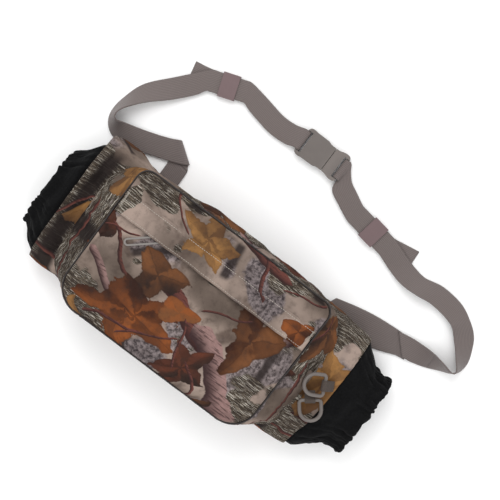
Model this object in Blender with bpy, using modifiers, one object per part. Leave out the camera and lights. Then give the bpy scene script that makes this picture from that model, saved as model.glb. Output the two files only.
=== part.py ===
"""Hand warmer muff: an insulated tube with gathered cuffs, a zipped box pocket and a buckled belt.

The muff lies on its back. X runs along the muff towards the right cuff, Y towards the belt side
and Z up through the pocket. The origin is the middle of the flat back, on the floor.
"""
import math

import bmesh
import bpy
from mathutils import Matrix, Vector

for old_object in list(bpy.data.objects):
    bpy.data.objects.remove(old_object, do_unlink=True)

MM = 0.001
GAP = 0.3

# Driving dimensions, in millimetres
MUFF_LEFT, MUFF_RIGHT = -183.0, 188.0
MUFF_HALF_WIDTH = 88.0
HEM_TAPER = 9.0
CUFF_HALF_WIDTH, CUFF_GATHER_SPAN = 58.0, 25.0
SECTION_CENTRE, SECTION_HALF_HEIGHT, SECTION_POWER = 26.0, 27.5, 2.6
SHELL_WALL, INSULATION_WALL, LINING_WALL, CUFF_WALL = 1.5, 7.0, 2.5, 1.2
LINING_REACH = 168.0
POCKET_BASE_X, POCKET_BASE_Y, POCKET_BASE_ROUND = 158.0, 82.0, 40.0
POCKET_FRONT_X, POCKET_FRONT_Y = 129.0, 88.0
POCKET_FRONT_ROUND, POCKET_FRONT_TOP_ROUND = 32.0, 15.0
PIPING_RADIUS = 0.9
POCKET_FRONT_Z, PANEL_WALL = 80.0, 1.3
ZIP_Y, ZIP_REACH, ZIP_SLIDER_X = 43.0, 118.0, -58.0
FLAP_LOW_Y, FLAP_TOP_Y, FLAP_WALL = 30.0, 57.0, 1.6
PULL_LENGTH, PULL_WIDTH, PULL_TURN = 54.0, 9.0, 221.0
WEBBING_WIDTH, WEBBING_WALL = 25.0, 1.6
MAIN_LIFT, TAIL_LIFT = 3.7, 1.8
BUCKLE_Y, BUCKLE_Z, SLOT_REACH = 212.0, 5.0, 5.2
KEEPER_LENGTH, KEEPER_WALL = 20.0, 1.4
RING_RADIUS, RING_WIRE, RING_LEG = 12.2, 2.2, 11.5
TAB_WIDTH, TAB_OUTER, TAB_INNER = 12.0, 3.8, 2.6

parts = bpy.data.collections.new("hand_warmer_muff")
cutters = bpy.data.collections.new("cutters")
bpy.context.scene.collection.children.link(parts)
bpy.context.scene.collection.children.link(cutters)


def make_material(name, colour, roughness):
    """A plain finish for one kind of piece."""
    material = bpy.data.materials.new(name)
    material.use_nodes = True
    shader = material.node_tree.nodes["Principled BSDF"]
    shader.inputs["Base Color"].default_value = (*colour, 1.0)
    shader.inputs["Roughness"].default_value = roughness
    shader.inputs["Metallic"].default_value = 0.0
    return material


CAMO = make_material("camo_cloth", (0.16, 0.11, 0.08), 0.85)
FLEECE = make_material("black_fleece", (0.006, 0.006, 0.006), 0.95)
WADDING = make_material("wadding", (0.7, 0.7, 0.68), 0.95)
ELASTIC = make_material("elastic", (0.6, 0.6, 0.58), 0.8)
WEBBING = make_material("taupe_webbing", (0.21, 0.18, 0.16), 0.8)
PLASTIC = make_material("grey_plastic", (0.2, 0.17, 0.16), 0.45)
KEEPER = make_material("keeper_plastic", (0.23, 0.15, 0.15), 0.55)
ZIP = make_material("black_zip", (0.01, 0.01, 0.01), 0.6)


def place(name, mesh_data, material, origin=(0, 0, 0), turn=0.0, parent=None):
    """Store a finished bmesh, given in millimetres about its origin, as a named part."""
    bmesh.ops.recalc_face_normals(mesh_data, faces=mesh_data.faces)
    bmesh.ops.scale(mesh_data, vec=(MM, MM, MM), verts=mesh_data.verts)
    mesh = bpy.data.meshes.new(name)
    mesh_data.to_mesh(mesh)
    mesh_data.free()
    mesh.materials.append(material)
    part = bpy.data.objects.new(name, mesh)
    part.location = Vector(origin) * MM
    part.rotation_euler = (0.0, 0.0, math.radians(turn))
    parts.objects.link(part)
    if parent:
        part.parent = parent
        part.location -= parent.location
    return part


def loft_round(name, rings, material, **where):
    """A closed solid swept through rings of points, the last ring joined to the first."""
    solid = bmesh.new()
    rows = [[solid.verts.new(point) for point in ring] for ring in rings]
    count = len(rows[0])
    for row, following in zip(rows, rows[1:] + rows[:1]):
        for i in range(count):
            j = (i + 1) % count
            solid.faces.new((row[i], row[j], following[j], following[i]))
    return place(name, solid, material, **where)


def prism(name, outline, low, high, material, along="Z", **where):
    """An outline drawn flat and pulled from low to high, along Z or along X."""
    solid = bmesh.new()
    face = solid.faces.new([solid.verts.new((u, v, low)) for u, v in outline])
    pulled = bmesh.ops.extrude_face_region(solid, geom=[face])
    risen = [item for item in pulled["geom"] if isinstance(item, bmesh.types.BMVert)]
    bmesh.ops.translate(solid, verts=risen, vec=(0, 0, high - low))
    if along == "X":
        for vert in solid.verts:
            vert.co = Vector((vert.co.z, vert.co.x, vert.co.y))
    return place(name, solid, material, **where)


def box(name, low, high, material, **where):
    """A plain block between two corners."""
    (x0, y0, z0), (x1, y1, z1) = low, high
    return prism(name, [(x0, y0), (x1, y0), (x1, y1), (x0, y1)], z0, z1, material, **where)


def cut_box(part, low, high):
    """Cut a block-shaped hollow out of a part."""
    cutter = box(f"{part.name}_cutter", low, high, PLASTIC)
    parts.objects.unlink(cutter)
    cutters.objects.link(cutter)
    cutter.hide_render = True
    cutter.display_type = "WIRE"
    boolean = part.modifiers.new("hollow", "BOOLEAN")
    boolean.operation = "DIFFERENCE"
    boolean.object = cutter


def soften(part, width, segments=2):
    """Round the edges of a moulded piece."""
    bevel = part.modifiers.new("round", "BEVEL")
    bevel.width = width * MM
    bevel.segments = segments
    bevel.limit_method = "ANGLE"


# The muff's cross-section: a flattened round with a flat back


def half_width(x):
    """Half the muff's width at x, drawn in further by the elastic beyond its hems."""
    on_muff = min(max(x, MUFF_LEFT), MUFF_RIGHT)
    full = MUFF_HALF_WIDTH - HEM_TAPER * abs(on_muff / MUFF_RIGHT) ** 3
    gathered = min(abs(x - on_muff) / CUFF_GATHER_SPAN, 1.0)
    return full + (CUFF_HALF_WIDTH - full) * gathered


def section_point(x, angle, inset, drift=0.0):
    """A point of the muff's outline at x, drawn in by inset from the outer face."""
    across, up = math.cos(angle), math.sin(angle)
    wide = math.copysign(abs(across) ** (2 / SECTION_POWER), across)
    high = math.copysign(abs(up) ** (2 / SECTION_POWER), up)
    z = SECTION_CENTRE + (SECTION_HALF_HEIGHT - inset) * high
    return Vector((x, (half_width(x) - inset) * wide + drift, max(z, inset)))


def muff_top(x, y):
    """Height of the muff's upper face above a point of the floor."""
    share = min(abs(y) / half_width(x), 1.0)
    return SECTION_CENTRE + SECTION_HALF_HEIGHT * (1 - share**SECTION_POWER) ** (1 / SECTION_POWER)


def no_drift(x):
    return 0.0


def sleeve(name, profile, material, drift=no_drift, around=44):
    """A tube wall: a closed profile of (x, inset) points carried round the muff's section."""
    rings = [
        [section_point(x, math.tau * i / around, inset, drift(x)) for i in range(around)]
        for x, inset in profile
    ]
    return loft_round(name, rings, material)


def wall_profile(left, right, outer, inner, steps=8):
    """The profile of a plain tube wall. All the layers share the stations between its ends."""
    shared = [LINING_REACH * (2 * i / steps - 1) for i in range(steps + 1)]
    stations = [left] * (left < shared[0]) + shared + [right] * (right > shared[-1])
    return [(x, outer) for x in stations] + [(x, inner) for x in reversed(stations)]


insulation_outer = SHELL_WALL + GAP
insulation_inner = insulation_outer + INSULATION_WALL
lining_outer = insulation_inner + GAP
lining_inner = lining_outer + LINING_WALL
sleeve("muff_shell", wall_profile(MUFF_LEFT, MUFF_RIGHT, 0.0, SHELL_WALL), CAMO)
sleeve(
    "muff_insulation",
    wall_profile(-LINING_REACH, LINING_REACH, insulation_outer, insulation_inner),
    WADDING,
)
sleeve(
    "muff_lining",
    wall_profile(-LINING_REACH, LINING_REACH, lining_outer, lining_inner),
    FLEECE,
)


def warmer_pocket():
    """The patch pocket for a heat pack, sewn inside the top of the lining."""
    rings = []
    half_length, patch = 50.0, 1.2
    outer = lining_inner + GAP
    angles = [math.radians(62 + 56 * i / 6) for i in range(7)]
    for x in (-half_length, -half_length / 2, 0.0, half_length / 2, half_length):
        upper = [section_point(x, angle, outer) for angle in angles]
        lower = [section_point(x, angle, outer + patch) for angle in reversed(angles)]
        rings.append(upper + lower)
    solid = bmesh.new()
    rows = [[solid.verts.new(point) for point in ring] for ring in rings]
    count = len(rows[0])
    for row, following in zip(rows, rows[1:]):
        for i in range(count):
            j = (i + 1) % count
            solid.faces.new((row[i], row[j], following[j], following[i]))
    solid.faces.new(rows[0])
    solid.faces.new(rows[-1])
    place("warmer_pocket", solid, FLEECE)


warmer_pocket()


def gathered_cuff(side, reach, sideways):
    """A fleece cuff whose hem is turned in round a ring of elastic."""
    sign = -1.0 if side == "left" else 1.0
    start = LINING_REACH + 4.0
    hem = reach - 10.0
    bend = LINING_REACH + 18.0
    middle = (bend + hem) / 2

    def drift(x):
        return sideways * (abs(x) - start) / (reach - start)

    outer = [(start, 3.0), (bend, 3.5), (middle, 5.5), (hem, 8.0), (reach, 8.5)]
    turned = [(reach, 13.5), (hem, 13.5), (hem, 13.5 - CUFF_WALL), (reach - CUFF_WALL, 12.3)]
    inner = [(reach - CUFF_WALL, 8.5 + CUFF_WALL)]
    inner += [(x, inset + CUFF_WALL) for x, inset in reversed(outer[:-1])]
    profile = [(sign * x, inset) for x, inset in outer + turned + inner]
    sleeve(f"cuff_{side}", profile, FLEECE, drift)
    band = [(hem + 1, 10.3), (reach - 2, 10.3), (reach - 2, 11.5), (hem + 1, 11.5)]
    sleeve(f"cuff_elastic_{side}", [(sign * x, inset) for x, inset in band], ELASTIC, drift)


gathered_cuff("left", 209.0, -3.0)
gathered_cuff("right", 236.0, 3.0)


# The box pocket on the front


def rounded_outline(half_x, half_y, low_radius, top_radius, steps=7):
    """A rectangle with round corners, anticlockwise from its right side."""
    points = []
    corners = ((1, 1, 0), (-1, 1, 90), (-1, -1, 180), (1, -1, 270))
    for side_x, side_y, start in corners:
        radius = top_radius if side_y > 0 else low_radius
        centre = Vector((side_x * (half_x - radius), side_y * (half_y - radius)))
        for i in range(steps + 1):
            angle = math.radians(start + 90 * i / steps)
            points.append(centre + radius * Vector((math.cos(angle), math.sin(angle))))
    return points


def with_midpoints(points, pieces):
    """Every edge of an outline cut into equal pieces, so long straight sides can follow a curve."""
    finer = []
    for point, following in zip(points, points[1:] + points[:1]):
        share = pieces if (following - point).length > 20 else 1
        finer += [point.lerp(following, i / share) for i in range(share)]
    return finer


def gusset_ring(inset, share, puff):
    """One level of the gusset: share 0 is its foot on the muff and 1 its front edge."""
    foot_round = POCKET_BASE_ROUND - inset
    foot = rounded_outline(POCKET_BASE_X - inset, POCKET_BASE_Y - inset, foot_round, foot_round)
    front = rounded_outline(
        POCKET_FRONT_X - inset,
        POCKET_FRONT_Y - inset,
        POCKET_FRONT_ROUND - inset,
        POCKET_FRONT_TOP_ROUND - inset,
    )
    ring = []
    for low, high in zip(with_midpoints(foot, 6), with_midpoints(front, 6)):
        foot_z = muff_top(low.x, low.y) + 3 * GAP
        flat = low.lerp(high, share)
        flat += flat.normalized() * puff
        front_z = POCKET_FRONT_Z - 1.5
        ring.append(Vector((flat.x, flat.y, foot_z + (front_z - foot_z) * share)))
    return ring


gusset_levels = [(0.0, 0.0, 0.0), (0.0, 0.5, 2.5), (0.0, 1.0, 0.0)]
gusset_levels += [(PANEL_WALL, 1.0, 0.0), (PANEL_WALL, 0.5, 2.5), (PANEL_WALL, 0.0, 0.0)]
loft_round("pocket_gusset", [gusset_ring(*level) for level in gusset_levels], CAMO)

panel_edge = 2 * GAP
front_outline = rounded_outline(
    POCKET_FRONT_X - panel_edge,
    POCKET_FRONT_Y - panel_edge,
    POCKET_FRONT_ROUND,
    POCKET_FRONT_TOP_ROUND,
)
panel_top = POCKET_FRONT_Z + PANEL_WALL
zip_half_gap = 4.0
side_x = POCKET_FRONT_X - panel_edge
lower_outline = [(p.x, p.y) for p in front_outline if p.y < 0]
lower_outline += [(side_x, ZIP_Y - zip_half_gap), (-side_x, ZIP_Y - zip_half_gap)]
upper_outline = [(side_x, ZIP_Y + zip_half_gap)]
upper_outline += [(p.x, p.y) for p in front_outline if p.y > 0]
upper_outline += [(-side_x, ZIP_Y + zip_half_gap)]
prism("pocket_lower_panel", lower_outline, POCKET_FRONT_Z, panel_top, CAMO)
prism("pocket_upper_panel", upper_outline, POCKET_FRONT_Z, panel_top, CAMO)


def storm_flap():
    """The strip sewn above the zip and folded down over it, its ends caught in the side seams."""
    sewn_z = panel_top + GAP
    raised_z = sewn_z + 3.4
    under = [(FLAP_TOP_Y, sewn_z), (FLAP_TOP_Y - 4, sewn_z)]
    under += [(FLAP_TOP_Y - 9, raised_z), (FLAP_LOW_Y, raised_z)]
    upper = [(y, z + FLAP_WALL) for y, z in reversed(under)]
    prism("pocket_flap", under + upper, -side_x + 1, side_x - 1, CAMO, along="X")


storm_flap()


def piping():
    """The round cord sewn into the seam between gusset and front panels."""
    outline = rounded_outline(
        POCKET_FRONT_X + PIPING_RADIUS,
        POCKET_FRONT_Y + PIPING_RADIUS,
        POCKET_FRONT_ROUND + PIPING_RADIUS,
        POCKET_FRONT_TOP_ROUND + PIPING_RADIUS,
    )
    curve = bpy.data.curves.new("pocket_piping", "CURVE")
    curve.dimensions = "3D"
    curve.bevel_depth = PIPING_RADIUS * MM
    curve.bevel_resolution = 1
    curve.resolution_u = 1
    curve.render_resolution_u = 1
    spline = curve.splines.new("POLY")
    spline.points.add(len(outline) - 1)
    for point, place_on in zip(spline.points, outline):
        point.co = (place_on.x * MM, place_on.y * MM, 0.0, 1.0)
    spline.use_cyclic_u = True
    curve.materials.append(ZIP)
    cord = bpy.data.objects.new("pocket_piping", curve)
    cord.location = (0.0, 0.0, (POCKET_FRONT_Z + 0.4) * MM)
    parts.objects.link(cord)


piping()


# The zip under the flap

tape_inner, tape_outer, tape_wall = 2.6, 9.0, 0.7
row_inner, row_outer = 0.7, 2.3
tape_top = POCKET_FRONT_Z - GAP
row_low, row_high = POCKET_FRONT_Z - 1.1, panel_top
for side, sign in (("lower", -1.0), ("upper", 1.0)):
    edges = sorted((ZIP_Y + sign * tape_inner, ZIP_Y + sign * tape_outer))
    low = (-side_x + 4, edges[0], tape_top - tape_wall)
    box(f"zip_tape_{side}", low, (side_x - 4, edges[1], tape_top), ZIP)
    edges = sorted((ZIP_Y + sign * row_inner, ZIP_Y + sign * row_outer))
    box(f"zip_teeth_{side}", (-ZIP_REACH, edges[0], row_low), (ZIP_REACH, edges[1], row_high), ZIP)
for side, sign in (("left", -1.0), ("right", 1.0)):
    edges = sorted((sign * (ZIP_REACH + GAP), sign * (ZIP_REACH + 4)))
    low = (edges[0], ZIP_Y - row_outer, row_low)
    box(f"zip_stop_{side}", low, (edges[1], ZIP_Y + row_outer, row_high), ZIP)

slider_half_width, post_half = 3.5, 0.35
slider_low, slider_high = row_low - 1.5, row_high + 1.5
plate = 1.2
slider_outline = [(slider_half_width, slider_low), (slider_half_width, slider_low + plate)]
slider_outline += [(post_half, slider_low + plate), (post_half, slider_high - plate)]
slider_outline += [(slider_half_width, slider_high - plate), (slider_half_width, slider_high)]
slider_outline += [(-y, z) for y, z in reversed(slider_outline)]
zip_slider = prism(
    "zip_slider", slider_outline, -4.5, 4.5, PLASTIC, along="X", origin=(ZIP_SLIDER_X, ZIP_Y, 0)
)

pull_half = PULL_WIDTH / 2
pull_low = slider_high + GAP
outline_start = -3.0
outer_loop = []
inner_loop = []
for centre_x, start in ((PULL_LENGTH - pull_half, -90), (outline_start + pull_half, 90)):
    for i in range(9):
        angle = math.radians(start + 180 * i / 8)
        arc = Vector((math.cos(angle), math.sin(angle)))
        outer_loop.append(Vector((centre_x, 0)) + pull_half * arc)
        inner_loop.append(Vector((centre_x, 0)) + (pull_half - 2) * arc)
pull_rings = [
    [(*point, height) for point in loop]
    for loop, height in (
        (outer_loop, 0.0),
        (outer_loop, plate),
        (inner_loop, plate),
        (inner_loop, 0.0),
    )
]
loft_round(
    "zip_pull",
    pull_rings,
    PLASTIC,
    origin=(ZIP_SLIDER_X, ZIP_Y, pull_low),
    turn=PULL_TURN,
    parent=zip_slider,
)


# D-rings on fabric tabs beside the pocket


def d_ring(name, bar_centre, facing, lean):
    """A moulded D-ring whose straight bar lies on its hinge axis, and whose arc faces one way."""
    curve = bpy.data.curves.new(name, "CURVE")
    curve.dimensions = "3D"
    curve.bevel_depth = RING_WIRE * MM
    curve.bevel_resolution = 2
    curve.resolution_u = 1
    curve.render_resolution_u = 1
    corner = 3.0
    outline = [Vector((0, -RING_RADIUS + corner)), Vector((0, RING_RADIUS - corner))]
    outline += [Vector((corner * 0.3, RING_RADIUS - corner * 0.3)), Vector((corner, RING_RADIUS))]
    for i in range(13):
        angle = math.radians(90 - 180 * i / 12)
        arc = Vector((math.cos(angle), math.sin(angle)))
        outline.append(Vector((RING_LEG, 0)) + RING_RADIUS * arc)
    outline += [Vector((corner, -RING_RADIUS)), Vector((corner * 0.3, -RING_RADIUS + corner * 0.3))]
    spline = curve.splines.new("POLY")
    spline.points.add(len(outline) - 1)
    for point, place_on in zip(spline.points, outline):
        point.co = (place_on.x * MM, place_on.y * MM, 0.0, 1.0)
    spline.use_cyclic_u = True
    curve.materials.append(PLASTIC)
    ring = bpy.data.objects.new(name, curve)
    ring.matrix_world = (
        Matrix.Translation(Vector(bar_centre) * MM)
        @ Matrix.Rotation(math.radians(facing), 4, "Z")
        @ Matrix.Rotation(math.radians(-lean), 4, "Y")
    )
    parts.objects.link(ring)


def ring_tab(name, bar_centre, foot_facing, drop):
    """A short fabric loop round a D-ring's bar, its foot sewn down to the muff."""
    outer, inner = [], []
    for i in range(24):
        angle = math.tau * i / 24
        foot = max(0.0, math.cos(angle)) ** 6
        x = TAB_OUTER * math.cos(angle) + 7.0 * foot
        z = TAB_OUTER * math.sin(angle) * (1 - 0.6 * foot) - drop * foot
        outer.append((x, z))
        inner.append((TAB_INNER * math.cos(angle), TAB_INNER * math.sin(angle)))
    half = TAB_WIDTH / 2
    rings = [
        [Vector((x, y, z)) for x, z in loop]
        for loop, y in ((outer, -half), (outer, half), (inner, half), (inner, -half))
    ]
    loft_round(name, rings, CAMO, origin=bar_centre, turn=foot_facing)


UPPER_RING_BAR, UPPER_RING_FACING = (174.0, 10.0, 60.7), 206.0
LOWER_RING_BAR, LOWER_RING_FACING = (171.5, -13.5, 57.2), -51.5
d_ring("d_ring_upper", UPPER_RING_BAR, UPPER_RING_FACING, 16.0)
ring_tab("d_ring_tab_upper", UPPER_RING_BAR, UPPER_RING_FACING + 180, 4.6)
d_ring("d_ring_lower", LOWER_RING_BAR, LOWER_RING_FACING, 0.0)
ring_tab("d_ring_tab_lower", LOWER_RING_BAR, LOWER_RING_FACING + 180, 1.2)


# The belt's webbing


def smooth_stations(stations, spacing=7.0):
    """Stations along a ribbon, filled in with a centripetal Catmull-Rom curve."""
    points = [Vector(station) for station in stations]
    points = [points[0] * 2 - points[1]] + points + [points[-1] * 2 - points[-2]]
    filled = [points[1]]
    for before, start, end, after in zip(points, points[1:], points[2:], points[3:]):
        t0 = 0.0
        t1 = t0 + max((start - before).length, 0.1) ** 0.5
        t2 = t1 + max((end - start).length, 0.1) ** 0.5
        t3 = t2 + max((after - end).length, 0.1) ** 0.5
        run = Vector(end[:2]) - Vector(start[:2])
        pieces = max(1, round(run.length / spacing))
        for i in range(1, pieces + 1):
            t = t1 + (t2 - t1) * i / pieces
            a1 = before * ((t1 - t) / (t1 - t0)) + start * ((t - t0) / (t1 - t0))
            a2 = start * ((t2 - t) / (t2 - t1)) + end * ((t - t1) / (t2 - t1))
            a3 = end * ((t3 - t) / (t3 - t2)) + after * ((t - t2) / (t3 - t2))
            b1 = a1 * ((t2 - t) / (t2 - t0)) + a2 * ((t - t0) / (t2 - t0))
            b2 = a2 * ((t3 - t) / (t3 - t1)) + a3 * ((t - t1) / (t3 - t1))
            filled.append(b1 * ((t2 - t) / (t2 - t1)) + b2 * ((t - t1) / (t2 - t1)))
    return filled


def ribbon(name, stations, material=WEBBING, origin=(0, 0, 0)):
    """Flat webbing. A station is x, y, lift off the floor, the way across, tilt and half width."""
    rows = []
    for x, y, lift, across, tilt, half in smooth_stations(stations):
        level, steep = math.radians(across), math.radians(tilt)
        side = Vector((math.cos(level), math.sin(level), 0)) * math.cos(steep)
        side.z = math.sin(steep)
        height = lift + half * abs(math.sin(steep)) + WEBBING_WALL / 2
        centre = Vector((x, y, height)) - Vector(origin)
        rows.append([centre + side * (half * share) for share in (-1.0, 0.0, 1.0)])
    strip = bmesh.new()
    rows = [[strip.verts.new(point) for point in row] for row in rows]
    for row, following in zip(rows, rows[1:]):
        for i in range(2):
            strip.faces.new((row[i], row[i + 1], following[i + 1], following[i]))
    part = place(name, strip, material, origin=origin)
    solidify = part.modifiers.new("thickness", "SOLIDIFY")
    solidify.thickness = WEBBING_WALL * MM
    solidify.offset = 0.0
    return part


HALF = WEBBING_WIDTH / 2
BAR_HALF = 1.5
BAR_CLEAR = BAR_HALF + GAP
LEFT_BAR_X, RIGHT_BAR_X = -10.5, 44.5
OVER_BAR = BUCKLE_Z + BAR_CLEAR
UNDER_BAR = BUCKLE_Z - BAR_CLEAR - WEBBING_WALL
LEFT_KEEPER, LEFT_KEEPER_TURN = (-115.0, 210.2), 18.6
RIGHT_KEEPER, RIGHT_KEEPER_TURN = (117.3, 176.2), -9.1


def beside_keeper(keeper, turn, distances, lift, across):
    """Stations on the straight stretch through a keeper, at distances from its middle."""
    along = Vector((math.cos(math.radians(turn)), math.sin(math.radians(turn))))
    spots = [Vector(keeper) + along * distance for distance in distances]
    return [(spot.x, spot.y, lift, across, 0, HALF) for spot in spots]


LEFT_RUN = (-22, -17, -8, 8, 17, 22)


def round_bar(bar_x, side, across):
    """Stations that carry webbing over a buckle's bar, through its slot and back beneath."""
    half = HALF
    inside = bar_x + side * (BAR_CLEAR + WEBBING_WALL / 2)
    near = bar_x - side * 4.0
    return [
        (near, BUCKLE_Y, OVER_BAR - 0.2, across, 0, half),
        (bar_x, BUCKLE_Y, OVER_BAR, across, 0, half),
        (bar_x + side * 2.3, BUCKLE_Y, OVER_BAR - 0.3, across, 0, half),
        (inside, BUCKLE_Y, BUCKLE_Z - WEBBING_WALL / 2, across, 0, half),
        (bar_x + side * 2.3, BUCKLE_Y, UNDER_BAR + 0.3, across, 0, half),
        (bar_x, BUCKLE_Y, UNDER_BAR, across, 0, half),
        (near, BUCKLE_Y, UNDER_BAR + 0.1, across, 0, half),
    ]


# Sewn stub of webbing, held to the back of the muff
ribbon(
    "belt_anchor_left",
    [(-108, 68, 2.4, 0, 0, HALF), (-108, 79, 0.9, 0, 0, HALF), (-108, 90.6, 0.3, 0, 0, HALF)],
)

left_across = LEFT_KEEPER_TURN - 270
left_slack = [(-84, 215.3, -265), (-66, 211.6, -281), (-45, 207.9, -277), (-25, 208.8, -266)]
left_stations = [
    (-108, 92.9, 0.3, 0, 0, HALF),
    (-108.6, 104, 0.3, -8, 0, 12.7),
    (-111.5, 117.5, 0.3, -34, 0, 14.5),
    (-110.5, 118.9, 1.5, -36, 0, 14.8),
    (-112.5, 117.8, 2.7, -39, 0, 14.8),
    (-124, 112.5, 2.7, -58, 0, 13.2),
    (-140, 106.5, 2.7, -70, 0, HALF),
    (-165, 98.5, 2.2, -75, -4, HALF),
    (-184, 94.5, 0.8, -84, -22, HALF),
    (-198, 97.5, 0.3, -122, -55, HALF),
    (-203.5, 108, 0.3, -170, -68, HALF),
    (-200, 124, 0.3, -210, -60, HALF),
    (-188, 146, 0.8, -224, -32, HALF),
    (-164, 171, 3.0, -226, -8, HALF),
    (-147, 190, 3.7, -234, 0, HALF),
    *beside_keeper(LEFT_KEEPER, LEFT_KEEPER_TURN, LEFT_RUN, MAIN_LIFT, left_across),
]
left_stations += [(x, y, MAIN_LIFT, across, 0, HALF) for x, y, across in left_slack]
left_stations += round_bar(LEFT_BAR_X, 1, -270)
left_stations += [(x, y, TAIL_LIFT, across, 0, HALF) for x, y, across in reversed(left_slack)]
left_stations += [
    *beside_keeper(LEFT_KEEPER, LEFT_KEEPER_TURN, LEFT_RUN[::-1], TAIL_LIFT, left_across),
    (-147, 200.6, 0.9, -255, 0, HALF),
    (-160, 198.4, 0.4, -258, 0, HALF),
]
ribbon("webbing_left", left_stations)

wing_outline = [(122, 64), (132, 88), (170, 95), (211, 101), (233, 78), (212, 68), (197, 60)]
wing_outline += [(160, 62)]
prism("wing_right", wing_outline, GAP, 2.8, WEBBING)

right_across = RIGHT_KEEPER_TURN + 90
SPLIT = -24.0
RIGHT_RUN = (22, 17, 8, -8, -17, SPLIT + GAP)
right_stations = [
    (225, 92.4, 0.4, -46, 0, 15.5),
    (243, 95, 0.4, -76, -10, HALF),
    (260, 98, 0.4, -80, -38, HALF),
    (275, 100, 0.3, -78, -65, HALF),
    (286, 101.5, 0.3, -48, -78, HALF),
    (291, 108.5, 0.3, 0, -70, HALF),
    (287.5, 120, 0.3, 14, -48, HALF),
    (281, 131.5, 0.3, 23, -33, HALF),
    (272, 144, 0.5, 34, -18, HALF),
    (259, 154, 0.8, 52, -28, HALF),
    (243, 160, 0.8, 69, -15, HALF),
    (219, 162.5, 0.8, 85, -20, HALF),
    (198, 159.5, 0.8, 96, -34, HALF),
    (178, 160.5, 1.8, 84, -14, HALF),
    (160, 165.5, 3.2, 75, 0, HALF),
    *beside_keeper(RIGHT_KEEPER, RIGHT_KEEPER_TURN, RIGHT_RUN, MAIN_LIFT, right_across),
]
ribbon("webbing_right", right_stations)
ribbon(
    "tail_right",
    [
        *beside_keeper(RIGHT_KEEPER, RIGHT_KEEPER_TURN, RIGHT_RUN[::-1], TAIL_LIFT, right_across),
        (152, 174.2, 0.9, 87, 0, HALF),
        (174, 177.5, 0.4, 94, 0, HALF),
    ],
)
right_slack = [(70, 189.5, 69), (57.5, 196, 63), (51, 205, 76)]
loop_start = (SPLIT, SPLIT - 5)
loop_stations = beside_keeper(
    RIGHT_KEEPER, RIGHT_KEEPER_TURN, loop_start, MAIN_LIFT, right_across
)
loop_stations += [(x, y, MAIN_LIFT, across, 0, HALF) for x, y, across in right_slack]
loop_stations += round_bar(RIGHT_BAR_X, -1, 90)
loop_stations += [(x, y, TAIL_LIFT, across, 0, HALF) for x, y, across in reversed(right_slack)]
loop_stations += beside_keeper(
    RIGHT_KEEPER, RIGHT_KEEPER_TURN, loop_start[::-1], TAIL_LIFT, right_across
)
ribbon("webbing_right_loop", loop_stations)


def keeper(name, centre, turn):
    """A moulded band that slides along the webbing and holds its tail."""
    half_inside = HALF + 0.6
    low, high = KEEPER_WALL + 0.1, MAIN_LIFT + WEBBING_WALL + GAP
    rings = []
    for x, wall in (
        (-KEEPER_LENGTH / 2, KEEPER_WALL),
        (KEEPER_LENGTH / 2, KEEPER_WALL),
        (KEEPER_LENGTH / 2, 0.0),
        (-KEEPER_LENGTH / 2, 0.0),
    ):
        y, z0, z1 = half_inside + wall, low - wall, high + wall
        rings.append([(x, -y, z0), (x, y, z0), (x, y, z1), (x, -y, z1)])
    loft_round(name, rings, KEEPER, origin=(*centre, 0), turn=turn)


keeper("keeper_left", LEFT_KEEPER, LEFT_KEEPER_TURN)
keeper("keeper_right", RIGHT_KEEPER, RIGHT_KEEPER_TURN)


# The side-release buckle


def buckle_hollow(part, low, high):
    """Cut a hollow given about the buckle's own middle line."""
    shift = Vector((0, BUCKLE_Y, BUCKLE_Z))
    cut_box(part, Vector(low) + shift, Vector(high) + shift)


def webbing_bar(part, bar_x, side, slot_reach):
    """Open the slot behind a bar and thin the bar so webbing can wrap round it."""
    half, far = 13.2, 8.0
    slot = sorted((bar_x + side * BAR_HALF, bar_x + side * slot_reach))
    buckle_hollow(part, (slot[0], -half, -far), (slot[1], half, far))
    relief = sorted((bar_x - side * 4, bar_x + side * 4))
    buckle_hollow(part, (relief[0], -half, BAR_HALF), (relief[1], half, far))
    buckle_hollow(part, (relief[0], -half, -far), (relief[1], half, -BAR_HALF))


def both_edges(edge):
    """A closed outline from one of its two matching edges."""
    return edge + [(x, -y) for x, y in reversed(edge)]


female_half_height, cavity_half_width, cavity_half_height = 4.5, 13.6, 2.7
female_end, male_start, male_end = 26.0, 26.5, 46.0
housing_edge = [(-12, 13.8), (-11, 16.0), (-8.6, 17.5), (-4.4, 17.6), (-0.6, 17.0), (14.4, 16.9)]
housing_edge += [(18.4, 15.6), (22.0, 15.2), (female_end, 15.5)]
female = prism(
    "buckle_female",
    both_edges(housing_edge),
    -female_half_height,
    female_half_height,
    PLASTIC,
    origin=(0, BUCKLE_Y, BUCKLE_Z),
)
soften(female, 0.8)
webbing_bar(female, LEFT_BAR_X, 1, SLOT_REACH)
buckle_hollow(
    female,
    (1.5, -cavity_half_width, -cavity_half_height),
    (female_end + 2, cavity_half_width, cavity_half_height),
)
for sign in (-1, 1):
    window = sorted((sign * 12.0, sign * 19.0))
    buckle_hollow(
        female, (4.5, window[0], -cavity_half_height), (13.8, window[1], cavity_half_height)
    )

tongue_half, tongue_high = 2.6, 1.8
plug_edge = [(6, tongue_half), (male_start, tongue_half), (male_start, 15.3), (31.0, 15.5)]
plug_edge += [(35.5, 16.9), (39.5, 17.6), (43.4, 17.2), (45.4, 15.8), (male_end, 13.8)]
male = prism(
    "buckle_male",
    [(x - RIGHT_BAR_X, y) for x, y in both_edges(plug_edge)],
    -4.2,
    4.2,
    PLASTIC,
    origin=(RIGHT_BAR_X, BUCKLE_Y, BUCKLE_Z),
)
for low, high in ((tongue_high, 8.0), (-8.0, -tongue_high)):
    buckle_hollow(male, (4, -4, low), (male_start, 4, high))
webbing_bar(male, RIGHT_BAR_X, -1, SLOT_REACH)

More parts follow.
